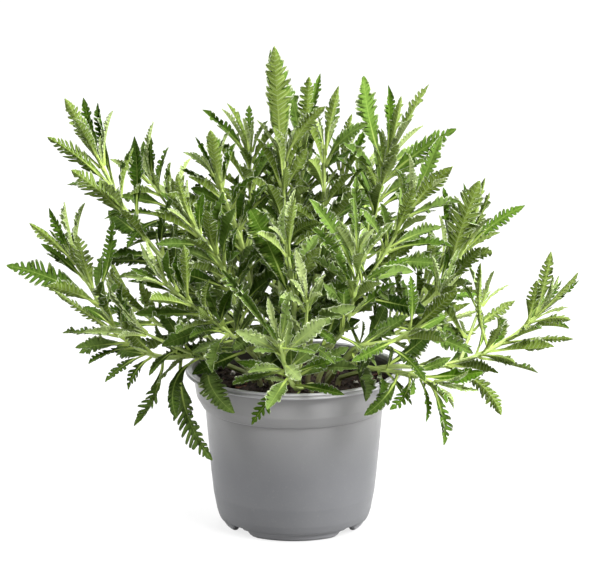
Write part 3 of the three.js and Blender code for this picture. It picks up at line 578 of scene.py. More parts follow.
# Radius and height of the pot's outside, from the floor up.
POT_PROFILE = [(39.5, 0), (42.2, 1.2), (44.6, 4.2), (46.2, 9), (48.5, 21), (49.7, 32), (53.4, 73.6),
               (55.1, 74.4), (58.6, 80.4), (60.6, 93.8), (65, 94.4), (65, 97)]

# A blade's outline as shares of its length, then how its kinds are cut: half width as a share
# of length, fold of its halves in radians, and the fine lobes' depth as a share of the half
# width, pitch in millimetres and slant. Inner and frilled ones are in this scene alone.
WIDEN_FROM = 0.1
WIDEN_TO = 0.6
WIDEST = 0.68
STALK_WIDTH = 0.15
BLUNTNESS = 0.7
KINDS = {
    "toothed": {"half": 0.092, "fold": 0.14, "depth": 0.5, "pitch": 2.9, "slant": 0.5},
    "comb": {"half": 0.102, "fold": 0.08, "depth": 0.7, "pitch": 3.5, "slant": 0.65},
    "broad": {"half": 0.112, "fold": 0.2, "depth": 0.46, "pitch": 3.0, "slant": 0.5},
    "narrow": {"half": 0.05, "fold": 0.25, "depth": 0.42, "pitch": 2.8, "slant": 0.8},
    "plain": {"half": 0.1, "fold": 0.14, "depth": 0.44, "pitch": 2.9, "slant": 0.5},
    "small": {"half": 0.105, "fold": 0.2, "depth": 0.32, "pitch": 2.5, "slant": 0.5},
    "young": {"half": 0.085, "fold": 0.35, "depth": 0.3, "pitch": 2.1, "slant": 0.5},
    "inner": {"half": 0.14, "fold": 0.3, "depth": 0.34, "pitch": 2.7, "slant": 0.4},
    "frilled": {"half": 0.112, "fold": 0.2, "depth": 0.3, "pitch": 2.3, "slant": 0.3},
}

# How leaves stand, bend, shorten and turn to the light. Two numbers hold for a shoot's foot and
# tip, or are the least and the most. Leans are in degrees and turns in radians. A shoot that
# spreads less than UPRIGHT takes its side from the front.
UPRIGHT = 15
STALK_SHARE = 0.3
BLADE_MIDDLE = 0.6
LIGHT = np.array([0, -0.8, 0.6])
LISTED = {"light": 1.3, "radial": 0.4, "share": 0.85, "clear_from": 0.4}
PAIRED = {"light": 0.8, "radial": 1.0, "clear_from": 0.15}
FACING = (0.1, 0.9)
FACING_YOUNG = 0.2
LEAN_OPEN = (52, 32)
LEAN_YOUNG = (32, 12)
LEAN_SPREAD = 16
TURN_OPEN = (0.1, 0.8)
TURN_YOUNG = 0.2
SIZE_OPEN = (0.74, 1)
SIZE_YOUNG = (0.62, 0.4)
SIZE_SPREAD = (0.88, 1.12)
SMALL_LEAF = 34
PAIRS_FROM = (0.3, 0.35)
PAIRS_TO = 0.9
TUFT_SHARES = (0.93, 0.995)
SWING_SPREAD = 0.5
SEED = 20261
DRAW_FACTOR = 16807
DRAW_RANGE = 2147483647

# The space that leaves are kept apart in: its cells, how close the points tried on a leaf and a
# shoot are, and what is left free of the pot, the peat and the floor.
CELL = 2
SAMPLE = 1.5
SHOOT_STEP = 0.01
FIELD = 420
FIELD_CORNER = np.array([-210.137, -210.137, -20.137])
BARE_STALK = 5
FLOOR_CLEARANCE = 4
POT_CLEARANCE = 2.5
RIM_CLEARANCE = 4
SOIL_CLEARANCE = 4
OVER_POT = 2
# Ways that a leaf may swing round its stem and lean, in degrees, and then be shorter, until it
# hangs free of what has already grown.
LEANS = [
    (0, 0), (5, 0), (-5, 0), (0, 4), (0, -4), (10, 0), (-10, 0), (0, 8), (0, -8),
    (18, 0), (-18, 0), (14, 10), (-14, 10), (14, -10), (-14, -10),
]
SHORTER = (1, 0.86, 0.72)

# Each stem's place in the peat and its shoots. The first is the main shoot, and the others leave
# it at the share they open with. Then come the number of pairs of leaves that the rule sets, the
# longest one's length, the shoot's points, and the leaves that show by themselves: share of the
# shoot, x, y and z of the tip, turn, and the kind of each that isn't toothed.
STEMS = {
    "far_left": ((-20, -8), [
        (0, 2, 38, [(-54, -26, 110), (-80, -30, 111), (-102, -26, 123), (-116, -22, 144),
                    (-129, -18, 166)], [
            (0.76, -168, -30, 170, 0.4, "comb"), (0.98, -154, -28, 193, 0.3),
            (0.96, -147, -8, 195, 0.2), (0.9, -150, -8, 174, 0.4),
            (0.82, -126, -38, 187, 0.4, "comb"), (0.81, -108, -6, 188, -0.4),
            (0.73, -103, -52, 161, 0.4), (0.56, -141, -40, 155, -0.4, "narrow"),
            (0.55, -128, -8, 109, 0.5), (0.52, -121, -50, 113, 0.5), (0.46, -108, -54, 102, 0.5),
            (0.43, -99, -26, 91, 0.7, "comb"), (0.38, -93, -44, 72, -0.7, "comb"),
            (0.22, -70, -62, 82, 1.3), (0.3, -45, -60, 60, 0.9, "comb"),
            (0.14, -37, -72, 86, 1.7, "broad"),
        ]),
        (0.2, 2, 26, [(-64, -36, 116), (-87, -52, 131)], []),
    ]),
    "upper_left": ((-16, 2), [
        (0, 2, 40, [(-37, -12, 128), (-62, -14, 150), (-76, -12, 164), (-98, -11, 193),
                    (-114, -12, 224)], [
            (0.97, -135, -18, 264, 0.3), (0.99, -125, -30, 256, 0.3), (1.0, -124, 0, 261, 0.2),
            (0.9, -114, 10, 256, 0.3), (0.91, -144, -34, 243, 0.4, "comb"),
            (0.77, -132, -30, 222, 0.4, "comb"), (0.76, -97, 14, 234, -0.3),
        ]),
        (0.18, 2, 38, [(-35, 10, 140), (-47, 12, 166), (-69, 14, 185), (-86, 14, 208)], [
            (0.97, -86, 6, 236, 0.2), (0.93, -78, 32, 224, 0.3, "comb"), (0.9, -94, -6, 224, 0.3),
            (0.75, -100, -22, 176, 0.9), (0.68, -113, -14, 190, 0.9, "narrow"),
            (0.5, -71, -20, 166, 0.5),
        ]),
    ]),
    "left_mid": ((-13, -14), [
        (0, 2, 40, [(-33, -34, 138), (-42, -38, 168), (-60, -38, 193)], [
            (0.97, -67, -48, 225, 0.3), (0.75, -50, -62, 207, 0.3, "comb"),
        ]),
        (0.12, 2, 34, [(-33, -48, 126), (-49, -56, 141), (-76, -66, 165)], [
            (0.95, -94, -60, 173, 0.3), (0.97, -79, -76, 184, 0.2), (0.85, -67, -80, 189, -0.3),
            (0.45, -62, -78, 137, 0.6),
        ]),
    ]),
    "mid_left": ((-8, 5), [
        (0, 2, 42, [(-24, -2, 140), (-32, -8, 178), (-47, -12, 218)], [
            (0.97, -58, -12, 240, 0.3), (0.92, -48, -32, 248, 0.2, "broad"),
            (0.66, -71, -32, 217, 0.4),
        ]),
        (0.4, 2, 40, [(-26, 4, 190), (-26, 6, 228)], [
            (0.95, -54, 4, 252, 0.4), (0.98, -38, 0, 259, 0.3), (0.98, -27, 22, 252, 0.3),
            (0.96, -19, 14, 253, 0.3),
        ]),
    ]),
    "top_left": ((-2, -4), [
        (0, 2, 44, [(-5, -6, 140), (-6, -5, 180), (-6, -6, 226)], [
            (0.95, -16, -14, 294, 0.15, "broad"), (0.97, -9, 6, 289, 0.1),
            (0.99, 17, -26, 262, 0.4),
        ]),
        (0.4, 2, 38, [(2, 12, 176), (4, 16, 202), (6, 18, 226)], [
            (0.95, -3, 18, 267, 0.2), (0.98, 8, 8, 272, 0.2), (0.99, 12, 28, 271, 0.2),
        ]),
    ]),
    "top_right": ((8, 2), [
        (0, 2, 42, [(12, -2, 145), (17, -2, 190), (18, -2, 233)], [
            (0.95, 26, -9, 270, 0.2), (0.92, 24, 10, 262, 0.2), (0.9, 43, -24, 247, 0.9, "broad"),
        ]),
        (0.35, 2, 38, [(28, 14, 180), (28, 20, 214)], [
            (0.95, 35, 24, 246, 0.3), (0.85, 44, 36, 235, 0.4),
        ]),
    ]),
    "upper_right": ((14, -6), [
        (0, 2, 42, [(36, -2, 146), (46, 2, 180), (51, 4, 207), (55, 5, 222)], [
            (0.93, 39, -5, 274, -0.2, "broad"), (0.98, 58, 12, 266, 0.2), (0.99, 64, -10, 264, 0.2),
            (0.96, 80, 4, 268, 0.3), (0.78, 94, -4, 246, 0.2, "comb"), (0.68, 45, -18, 226, 0.2),
        ]),
        (0.2, 2, 40, [(40, -18, 150), (56, -22, 176), (69, -22, 202)], [
            (0.97, 90, -20, 241, 0.2), (0.9, 90, -38, 230, 0.3, "broad"),
            (0.75, 70, -40, 216, 0.2, "comb"),
        ]),
    ]),
    "right": ((20, 3), [
        (0, 2, 40, [(52, 2, 118), (80, 4, 136), (95, 5, 155), (103, 6, 172)], [
            (0.98, 112, 0, 213, 0.2), (0.97, 101, 14, 206, 0.2), (0.94, 119, -12, 205, 0.3),
            (0.9, 137, 10, 194, 0.5), (0.84, 88, -12, 209, -0.4, "comb"),
            (0.7, 106, -18, 218, -0.4, "comb"), (0.6, 111, -24, 175, 0.4),
        ]),
    ]),
    "front_mid": ((2, -16), [
        (0, 2, 38, [(0, -44, 136), (0, -52, 157), (-5, -58, 188)], [
            (0.5, -25, -66, 208, 0.2, "broad"), (0.9, -5, -68, 218, 0.2),
            (0.3, -36, -80, 131, 0.6, "broad"),
        ]),
        (0.15, 2, 38, [(26, -50, 128), (36, -58, 158), (37, -62, 183)], [
            (0.97, 36, -66, 216, 0.1, "narrow"), (0.9, 32, -52, 225, 0.2),
            (0.75, 10, -68, 217, 0.4), (0.62, 7, -78, 207, 0.3, "broad"), (0.7, 56, -68, 174, 0.5),
        ]),
    ]),
    "front_low": ((10, -21), [
        (0, 2, 34, [(2, -50, 97), (-2, -66, 106), (-5, -80, 118), (-8, -94, 135)], [
            (0.95, -40, -84, 177, 0.3, "broad"), (0.97, 12, -98, 131, 0.3),
            (0.9, -22, -100, 132, 0.9, "broad"), (0.7, -34, -86, 108, 0.4, "broad"),
            (0.5, -23, -76, 82, 1.3, "comb"), (0.4, 29, -80, 102, 0.6), (0.98, -16, -107, 152, 0.2),
            (0.99, -2, -102, 168, 0.1),
        ]),
        (0.3, 1, 30, [(6, -66, 128), (8, -82, 158)], [
            (0.5, 23, -88, 122, 0.9), (0.7, 24, -92, 136, 0.7, "broad"),
        ]),
    ]),
    "front_right": ((19, -14), [
        (0, 2, 34, [(36, -38, 118), (60, -48, 126), (79, -52, 140), (85, -54, 154)], [
            (0.62, 95, -74, 162, -0.3, "broad"), (0.6, 103, -72, 124, 0.4, "broad"),
            (0.5, 33, -78, 122, 0.5), (0.42, 77, -78, 110, 0.5),
        ]),
        (0.15, 2, 30, [(54, -50, 108), (69, -58, 108), (82, -64, 104)], [
            (0.95, 88, -68, 68, 0.6, "comb"), (0.8, 76, -80, 86, 0.6),
            (0.5, 41, -74, 88, 0.8, "broad"), (0.65, 59, -80, 90, 0.7, "comb"),
        ]),
    ]),
    "far_right": ((26, -6), [
        (0, 2, 36, [(54, -28, 104), (87, -24, 104), (109, -16, 108), (129, -8, 117),
                    (146, -4, 130)], [
            (0.98, 151, -6, 169, 0.2), (0.92, 143, -22, 155, 0.2, "comb"),
            (0.96, 160, 10, 148, 0.2), (0.98, 168, -12, 159, 0.3), (0.99, 170, 6, 149, 0.3),
            (0.93, 164, -26, 136, 0.4), (0.77, 146, -46, 133, 0.5),
            (0.74, 165, -30, 122, 0.4, "narrow"), (0.61, 130, -46, 112, 0.5),
            (0.67, 115, -22, 158, -0.8, "narrow"), (0.63, 120, -36, 131, 0.4),
            (0.42, 124, -42, 80, 1.0), (0.4, 104, -52, 106, 0.5),
        ]),
        (0.5, 1, 30, [(106, 4, 118), (112, 12, 132)], [
            (0.5, 132, 16, 134, 0.3, "broad"), (0.95, 111, 2, 160, 0.2), (0.9, 97, 16, 150, 0.3),
        ]),
    ]),
    "back_left": ((-15, 16), [
        (0, 3, 46, [(-38, 34, 132), (-58, 52, 158), (-72, 66, 184)], []),
        (0.25, 3, 42, [(-38, 46, 118), (-58, 68, 130)], []),
    ]),
    "back_left_low": ((-24, 6), [
        (0, 3, 44, [(-52, 26, 108), (-80, 40, 112), (-104, 50, 126)], []),
    ]),
    "back_mid": ((-4, 16), [
        (0, 3, 46, [(-8, 34, 140), (-10, 46, 176), (-10, 54, 206)], []),
        (0.3, 3, 40, [(-20, 58, 140), (-28, 80, 168)], []),
    ]),
    "back_low": ((2, 25), [
        (0, 3, 40, [(2, 50, 108), (4, 70, 120), (8, 84, 142)], []),
        (0.3, 3, 38, [(-14, 68, 106), (-30, 86, 112)], []),
    ]),
    "back_right": ((13, 14), [
        (0, 3, 46, [(28, 38, 140), (36, 56, 170), (42, 66, 198)], []),
        (0.25, 3, 42, [(42, 58, 130), (56, 80, 148)], []),
    ]),
    "back_right_low": ((23, 13), [
        (0, 3, 44, [(52, 30, 112), (76, 46, 124), (92, 60, 146)], []),
        (0.3, 3, 38, [(68, 54, 104), (86, 72, 104)], []),
    ]),
}


def unit(vector):
    return vector / np.linalg.norm(vector)


def between(pair, share):
    return pair[0] + (pair[1] - pair[0]) * share


def smooth(share, low, high):
    """A smooth step from 0 to 1, as share goes from low to high."""
    f = np.clip((share - low) / (high - low), 0, 1)
    return f * f * (3 - 2 * f)


def half_width(share):
    """Half width of a blade at a share of its length: a slim stalk, widest past the middle."""
    widening = STALK_WIDTH + (1 - STALK_WIDTH) * smooth(share, WIDEN_FROM, WIDEN_TO)
    past = np.clip((share - WIDEST) / (1 - WIDEST), 0, 1)
    return np.where(share < WIDEST, widening, np.abs(np.cos(past * math.pi / 2)) ** BLUNTNESS)


class Axis:
    """A smooth curve through a shoot's points. Share 0 is where its leafy part starts, and
    share 1 its tip. A main shoot has a buried part before that."""

    def __init__(self, points, skipped):
        self.points = [np.array(p, float) for p in points]
        self.skipped = skipped
        chord = self.points[-1] - self.points[0]
        across = np.array([chord[1], -chord[0], 0])
        upright = np.linalg.norm(across) < UPRIGHT
        self.reference = np.array([0, -1, 0]) if upright else unit(across)
        self.start = -skipped / (len(points) - 1 - skipped)

    def slope(self, i):
        last = len(self.points) - 1
        before, here, after = self.points[max(i - 1, 0)], self.points[i], self.points[min(i + 1, last)]
        reach = min(
            np.linalg.norm(here - before) if i > 0 else math.inf,
            np.linalg.norm(here - after) if i < last else math.inf,
        )
        return unit(after - before) * reach

    def place(self, share):
        """The point at a share, and the stem's tangent, side and up there."""
        last = len(self.points) - 1
        along = min(self.skipped + share * (last - self.skipped), last - 1e-6)
        i = math.floor(along)
        f = along - i
        p, q, m, n = self.points[i], self.points[i + 1], self.slope(i), self.slope(i + 1)
        point = (
            p * (1 + 2 * f) * (1 - f) ** 2 + m * f * (1 - f) ** 2
            + q * f * f * (3 - 2 * f) + n * f * f * (f - 1)
        )
        tangent = unit((p - q) * 6 * f * (f - 1) + m * (1 - f) * (1 - 3 * f) + n * f * (3 * f - 2))
        side = unit(self.reference - tangent * self.reference.dot(tangent))
        return point, tangent, side, np.cross(side, tangent)


def axes_of(root, shoots):
    """A stem's curves: the main shoot stands up from the peat, and side shoots leave it."""
    x, y = root
    made = []
    for share, _, _, points, _ in shoots:
        if made:
            made.append(Axis([made[0].place(share)[0], *points], 0))
        else:
            buried = [(x, y, SOIL_TOP - ROOT_DEPTH), (x, y, SOIL_TOP - ROOT_BEND)]
            leaving = (x * ROOT_SPREAD, y * ROOT_SPREAD, SOIL_TOP + ROOT_RISE)
            made.append(Axis([*buried, leaving, *points], 2))
    return made


class Leaf:
    """A leaf whose midrib is an arc. Its blade twists over its stalk towards the light."""

    def __init__(self, base, tangent, out, start, turn, length, kind, facing):
        self.base, self.tangent, self.out, self.start = base, tangent, out, start
        self.turn, self.length, self.kind, self.facing = turn, length, kind, facing
        self.foot = base + ROOT_OFFSET * out
        self.half = KINDS[kind]["half"] * length
        self.side = np.cross(tangent, out)
        self.roll = 0
        self.high = 1
        (middle,), (normal,) = self.at(np.array([BLADE_MIDDLE * length]), np.zeros(1))
        radial = unit(np.array([middle[0], middle[1], 0]))
        light = LIGHT * facing["light"] + radial * facing["radial"]
        twist = math.atan2(light.dot(self.side), light.dot(normal))
        nearest = twist - math.copysign(math.pi, twist) if abs(twist) > math.pi / 2 else twist
        self.roll = facing["share"] * nearest

    def at(self, along, across, lift=0.0):
        """Points of the blade along its midrib and across it, and its upper face's directions."""
        angle = self.start + self.turn * along / self.length
        reach = self.length / self.turn
        cos, sin = np.cos(angle)[..., None], np.sin(angle)[..., None]
        twist = (self.roll * np.minimum(along / (STALK_SHARE * self.length), 1))[..., None]
        face = self.tangent * sin - self.out * cos
        normal = face * np.cos(twist) + self.side * np.sin(twist)
        wide = self.side * np.cos(twist) - face * np.sin(twist)
        rise = np.abs(across) * math.tan(KINDS[self.kind]["fold"]) + lift
        point = (
            self.foot
            + self.tangent * reach * (sin - math.sin(self.start))
            + self.out * reach * (math.cos(self.start) - cos)
            + wide * across[..., None] + normal * rise[..., None]
        )
        return point, normal

    def samples(self):
        """Points all over the blade, a sample apart, and each one's share of the length."""
        along, across = [], []
        for place in np.arange(BARE_STALK, self.length, SAMPLE):
            half = self.half * float(half_width(place / self.length))
            steps = math.ceil(half / SAMPLE)
            across.append(half * np.arange(-steps, steps + 1) / steps)
            along.append(np.full(2 * steps + 1, place))
        along, across = np.concatenate(along), np.concatenate(across)
        return self.at(along, across)[0], along / self.length


def leaf_to(place, tip, kind, turn):
    """A leaf that ends at a known tip."""
    base, tangent = place[:2]
    chord = np.array(tip) - base
    along = chord.dot(tangent)
    out = chord - tangent * along
    angle = math.atan2(np.linalg.norm(out), along)
    length = np.linalg.norm(chord) * (turn / 2) / math.sin(turn / 2)
    return Leaf(base, tangent, unit(out), angle - turn / 2, turn, length, kind, LISTED)


def leaf_out(place, angle, start, turn, length, kind, share):
    """A leaf that leaves its shoot at an angle round it, and turns a share of the way to face
    the light."""
    base, tangent, side, up = place
    out = side * math.cos(angle) + up * math.sin(angle)
    return Leaf(base, tangent, out, start, turn, length, kind, {**PAIRED, "share": share})


def paired_leaf(place, angle, longest, young, high):
    """One leaf of a pair, or of a tuft of young ones. High runs from 0 to 1 up the shoot."""
    lean = between(LEAN_YOUNG if young else LEAN_OPEN, high)
    size = between(SIZE_YOUNG, high) if young else between(SIZE_OPEN, math.sin(math.pi * high))
    length = longest * size * between(SIZE_SPREAD, draw())
    start = math.radians(lean + (draw() - 0.5) * LEAN_SPREAD)
    turn = TURN_YOUNG if young else between(TURN_OPEN, draw())
    kind = "young" if young else "plain" if length > SMALL_LEAF else "small"
    share = FACING_YOUNG if young else between(FACING, draw())
    return leaf_out(place, angle, start, turn, length, kind, share)


# The space round the plant in cells. taken marks each leaf's cell and those that touch it with
# its stem's number, and close marks only the leaf's own. Outer parts are marked below zero.
ROW = FIELD // CELL
taken = np.zeros(ROW ** 3, np.int16)
close = np.zeros(ROW ** 3, np.int16)
NEXT = (-1, 0, 1)
TOUCHING = np.array([(dz * ROW + dy) * ROW + dx for dz in NEXT for dy in NEXT for dx in NEXT])


def cells_of(points):
    x, y, z = np.floor((points - FIELD_CORNER) / CELL).astype(int).T
    return (z * ROW + y) * ROW + x


def fill(points, mark):
    """Marks the free cells of the points, and all that touch them."""
    own = cells_of(points)
    around = (own[:, None] + TOUCHING).ravel()
    for cells, places in ((close, own), (taken, around)):
        free = places[cells[places] == 0]
        cells[free] = mark


def in_pot(points):
    """True where a point is in the pot's wall or the peat, or too near them or the floor."""
    radius = np.hypot(points[:, 0], points[:, 1])
    z = points[:, 2]
    radii, heights = np.array(POT_PROFILE).T
    outside = radius > np.interp(z, heights, radii) + POT_CLEARANCE
    near = (z < SOIL_TOP + SOIL_CLEARANCE) | (radius > RIM_INSIDE - RIM_CLEARANCE)
    clear = (z > POT_HEIGHT + OVER_POT) | outside
    return (z < FLOOR_CLEARANCE) | (~clear & near)


def blocked(number, cells, points, outer):
    """True where a leaf would touch the pot, another stem or, with its outer part, an older
    leaf's outer part."""
    if in_pot(points).any():
        return True
    marks = cells[cells_of(points)]
    if ((marks != 0) & (np.abs(marks) != number)).any():
        return True
    return bool(((marks == -number) & outer).any())


def settle(leaf, number, cells):
    """The leaf as near as can be to what was asked, or None where there is no room for it."""
    for shorter in SHORTER:
        for swing, lean in LEANS:
            swing = math.radians(swing)
            out = leaf.out * math.cos(swing) + np.cross(leaf.tangent, leaf.out) * math.sin(swing)
            tried = Leaf(leaf.base, leaf.tangent, out, leaf.start + math.radians(lean), leaf.turn,
                         leaf.length * shorter, leaf.kind, leaf.facing)
            points, shares = tried.samples()
            outer = shares > leaf.facing["clear_from"]
            if not blocked(number, cells, points, outer):
                fill(points[~outer], number)
                fill(points[outer], -number)
                return tried
    return None


seed = SEED


def draw():
    """The next number from 0 to 1 of the part's own draws."""
    global seed
    seed = (seed * DRAW_FACTOR) % DRAW_RANGE
    return seed / DRAW_RANGE


names = list(STEMS)
axes = {name: axes_of(*STEMS[name]) for name in names}
leaves = {name: [] for name in names}
knots = {name: [[] for _ in axes[name]] for name in names}
# Every shoot, with its stem's name, its number there and what its row of the table says.
shoots = [(name, i, *row) for name in names for i, row in enumerate(STEMS[name][1])]


def keep(name, i, share, leaf, cells=taken, swells=True):
    """Settles a leaf on a shoot at a share, and keeps it if there is room and it doesn't hang
    from inside the plant over the pot's rim. The shoot swells a little where it grows."""
    settled = settle(leaf, names.index(name) + 1, cells)
    if settled is None or (leaf.kind == "inner" and hangs(settled)):
        return
    settled.high = share
    leaves[name].append(settled)
    if swells:
        knots[name][i].append(share)


def hangs(leaf):
    """True where a leaf's tip is under the pot's rim."""
    (tip,), _ = leaf.at(np.array([leaf.length]), np.zeros(1))
    return tip[2] < POT_HEIGHT


for name, i, *_ in shoots:
    steps = range(round(1 / SHOOT_STEP))
    line = np.array([axes[name][i].place(SHOOT_STEP * k)[0] for k in steps])
    fill(line, names.index(name) + 1)
for name, i, *_, listed in shoots:
    for share, x, y, z, turn, *kind in listed:
        place = axes[name][i].place(share)
        keep(name, i, share, leaf_to(place, (x, y, z), kind[0] if kind else "toothed", turn))
for name, i, _, pairs, longest, *_ in shoots:
    start = draw() * math.pi
    for pair in reversed(range(pairs + 1)):
        young = pair == pairs
        high = pair / pairs
        share = between(TUFT_SHARES if young else (PAIRS_FROM[min(i, 1)], PAIRS_TO), high)
        place = axes[name][i].place(share)
        for half in (0, 1):
            swing = (draw() - 0.5) * SWING_SPREAD
            angle = start + pair * math.pi / 2 + half * math.pi + swing
            keep(name, i, share, paired_leaf(place, angle, longest, young, high))

# More small leaves than the solids hold: a pair at most knots between, broader and shorter than
# the others, a folded young one over some, and a bud of young leaves at each shoot's end.
KNOT_SPACING = 9.3
KNOTS_OVER = 0.8
KNOTS_LEAST = 2
KNOT_SHARES = (0.14, 0.95)
# A shoot's length is measured over so many chords.
SHOOT_CHORDS = 40
# For some stems, how many more or fewer knots they have and how much longer their buds are, as
# times the usual, and which knots are bare: one in so many, where the others have one in all.
CROWDED = {"far_left": 0.6, "far_right": 0.6, "front_right": 0.6, "mid_left": 1.3, "top_left": 1.4,
           "back_left": 0.6, "back_left_low": 0.7, "back_right": 0.6, "back_right_low": 0.7}
TIP_CROWNS = {"far_left": 1.3, "upper_left": 1.25, "right": 1.25, "upper_right": 1.2}
BARE_KNOTS = {"front_right": 2, "far_right": 2, "right": 3, "back_right": 3, "upper_left": 3}
# Lengths and leans at a shoot's foot and tip, and how much each may differ from that.
INNER_LONG = (48, 30)
INNER_SPREAD = (0.8, 1.15)
INNER_SWING = 0.25
INNER_LEAN = (62, 28)
INNER_LEAN_SPREAD = 7
INNER_TURN = (0.1, 0.7)
AXIL_SHARE = 0.35
AXIL_LONG = (22, 12)
AXIL_SPREAD = (0.8, 1.2)
AXIL_SWING = 0.4
AXIL_LEAN = 0.5
BUD_LONG = (30, 12)
BUD_SPREAD = (0.9, 1.1)
BUD_LEAN = (24, 8)
BUD_LEAVES = 6
BUD_SHARE = 0.985
extra = np.random.default_rng(5)


def inner_leaf(place, angle, length, lean, kind):
    """A small leaf at a knot of the shoot."""
    share = extra.uniform(*FACING)
    return leaf_out(place, angle, math.radians(lean), extra.uniform(*INNER_TURN), length, kind, share)


for name, i, *_ in shoots:
    axis = axes[name][i]
    line = np.array([axis.place(k / SHOOT_CHORDS)[0] for k in range(SHOOT_CHORDS + 1)])
    long = np.linalg.norm(np.diff(line, axis=0), axis=1).sum()
    count = max(KNOTS_LEAST, round(KNOTS_OVER * long / KNOT_SPACING * CROWDED.get(name, 1)))
    start = extra.uniform(0, math.pi)
    for knot in range(count):
        high = (knot + 0.5) / count
        share = between(KNOT_SHARES, high)
        place = axis.place(share)
        bare = knot % BARE_KNOTS.get(name, count) == 1
        for half in (0, 1):
            angle = start + knot * math.pi / 2 + half * math.pi + extra.normal(0, INNER_SWING)
            length = between(INNER_LONG, high) * extra.uniform(*INNER_SPREAD)
            lean = between(INNER_LEAN, high) + extra.normal(0, INNER_LEAN_SPREAD)
            small = inner_leaf(place, angle, length, lean, "inner")
            if not bare:
                keep(name, i, share, small, close)
            if extra.uniform() > AXIL_SHARE:
                continue
            length = between(AXIL_LONG, high) * extra.uniform(*AXIL_SPREAD)
            axil = inner_leaf(place, angle + AXIL_SWING, length, lean * AXIL_LEAN, "young")
            if not bare:
                keep(name, i, share, axil, close, False)
    place = axis.place(BUD_SHARE)
    for bud in range(BUD_LEAVES):
        high = bud / (BUD_LEAVES - 1)
        angle = start + bud * math.pi / 2 + math.pi * (bud % 2)
        length = between(BUD_LONG, high) * extra.uniform(*BUD_SPREAD) * TIP_CROWNS.get(name, 1)
        leaves[name].append(inner_leaf(place, angle, length, between(BUD_LEAN, high), "young"))

# How a leaf is modelled, in millimetres but for the shares. Rows of points run from its stalk
# to its tip, some at each lobe, and small leaves have fewer. No two leaves are cut, folded or
# curled alike, and each lobe curls by itself.
LOBE_STEPS = {"large": (0, 0.08, 0.3, 0.72, 0.92), "small": (0, 0.3, 0.72)}
LOBE_REACH = {"large": (0, 0.86, 1, 1, 0.86), "small": (0, 0.95, 0.9)}
STALK_ROWS = {"large": (0.02, 0.08, 0.14, 0.2, 0.26), "small": (0.03, 0.12, 0.22)}
TIP_ROWS = {"large": (0.91, 0.945, 0.975, 0.99), "small": (0.92, 0.965, 0.99)}
ACROSS = {"large": 0.62, "small": 0.55}
LOBES_FROM = 0.3
LOBES_TO = 0.9
LOBES_LEAST = 3
# Where a blade's cuts begin and end, and how gently.
CUT_FROM = (0.28, 0.4)
CUT_TO = (0.8, 0.92)
CUT_FRILLED = (0.55, 0.97)
CUT_RISE = 0.12
CUT_FALL = 0.05
NOTCH_MOST = 0.8
SLANT_RISE = (0.12, 0.36)
SLANT_FALL = (0.86, 1.0)
TIP_SHARPNESS = 0.9
WIDEST_SPREAD = 0.035
FRILLED_WIDEST = 0.82
FRILLED_FULL = 0.78
FRILLED_SHARPNESS = 0.5
LAST_WIDTH = 0.985
STALK_HALF = 0.021
STALK_TO = 0.5
BLADE_THICK = 0.4
STALK_THICK = 1.0
THICK_TO = 0.4
THICK_LEAF = 40
RIB_RISE = 0.3
RIB_AT_FOOT = 1.1
RIB_AT_TIP = 0.12
RIB_TAPER = 2.2
RIB_LEAF = 45
RIB_MOST = 0.5
RIB_UNDER = 1.5
RIB_SINKS = (1, 0.5)
UNDER_SHARE = 0.9
PUFF = 0.1
PUFF_LIMITS = (0.3, 0.8)
WAVE = 0.14
WAVE_LENGTH = 17
WAVE_SPREAD = (0.4, 1.5)
BEND_SPREAD = 0.045
FOLD_AT_TIP = 0.3
FOLD_LATE = (0.7, 0.95)
FOLD_SPREAD = 0.1
FOLD_MOST = 1.05
# The blade's curl, as its mean and spread, and the lobes' curl, all alike and each by itself.
CURL = (0.1, 0.8)
CURL_LIMITS = (0.15, 0.5)
LOBE_CURL = (1.2, 1.1)
LOBE_WIDTH_SPREAD = 0.06
LOBE_SLANT_SPREAD = 0.2
CRINKLE_LIMITS = (0.1, 0.6)
CRINKLE_WAVES = ((2.1, 3.7), (1.3, 5.3))
SUNK_IN_SHOOT = 0.4
# What differs between kinds of leaf: the gaps between lobes, the least and most of their depth,
# the blade's width over the solid's, the mean and spread of its further fold, and its crinkle.
LOBE_GAP = {"comb": 0.24, "narrow": 0.26, "toothed": 0.16, "plain": 0.14, "others": 0.1}
LOBE_DEPTH = {"comb": (0.85, 1.1), "inner": (0.1, 1.0), "small": (0.3, 1.2), "others": (0.6, 1.3)}
FULLNESS = {"comb": 1.3, "others": 1.1}
FOLD_MORE = {"broad": (0.0, 0.1), "others": (0.16, 0.26)}
CRINKLE = {"young": 0.16, "frilled": 0.2, "broad": 0.1, "inner": 0.07, "others": 0.06}


def of_kind(table, leaf):
    """What a table says of a leaf's kind."""
    return table.get(leaf.kind, table["others"])


def lobed_rows(leaf, make):
    """Shares of a leaf's length for its rows, each row's place among the lobes, how far the lobes
    reach there, how many there are, and their middle."""
    lobes = round((LOBES_TO - LOBES_FROM) * leaf.length / KINDS[leaf.kind]["pitch"])
    lobes = max(LOBES_LEAST, lobes)
    gap = of_kind(LOBE_GAP, leaf)
    steps = np.array([0, *(gap + (1 - gap) * np.array(LOBE_STEPS[make]))])
    phase = (np.arange(lobes)[:, None] + steps).ravel()
    lobed = LOBES_FROM + (LOBES_TO - LOBES_FROM) * phase / lobes
    rows = np.concatenate([STALK_ROWS[make], lobed, TIP_ROWS[make]])
    phase = (rows - LOBES_FROM) / (LOBES_TO - LOBES_FROM) * lobes
    reach = np.tile([0, *LOBE_REACH[make]], lobes)
    reach = np.pad(reach, (len(STALK_ROWS[make]), len(TIP_ROWS[make])))
    return rows, phase, reach, lobes, (1 + gap) / 2


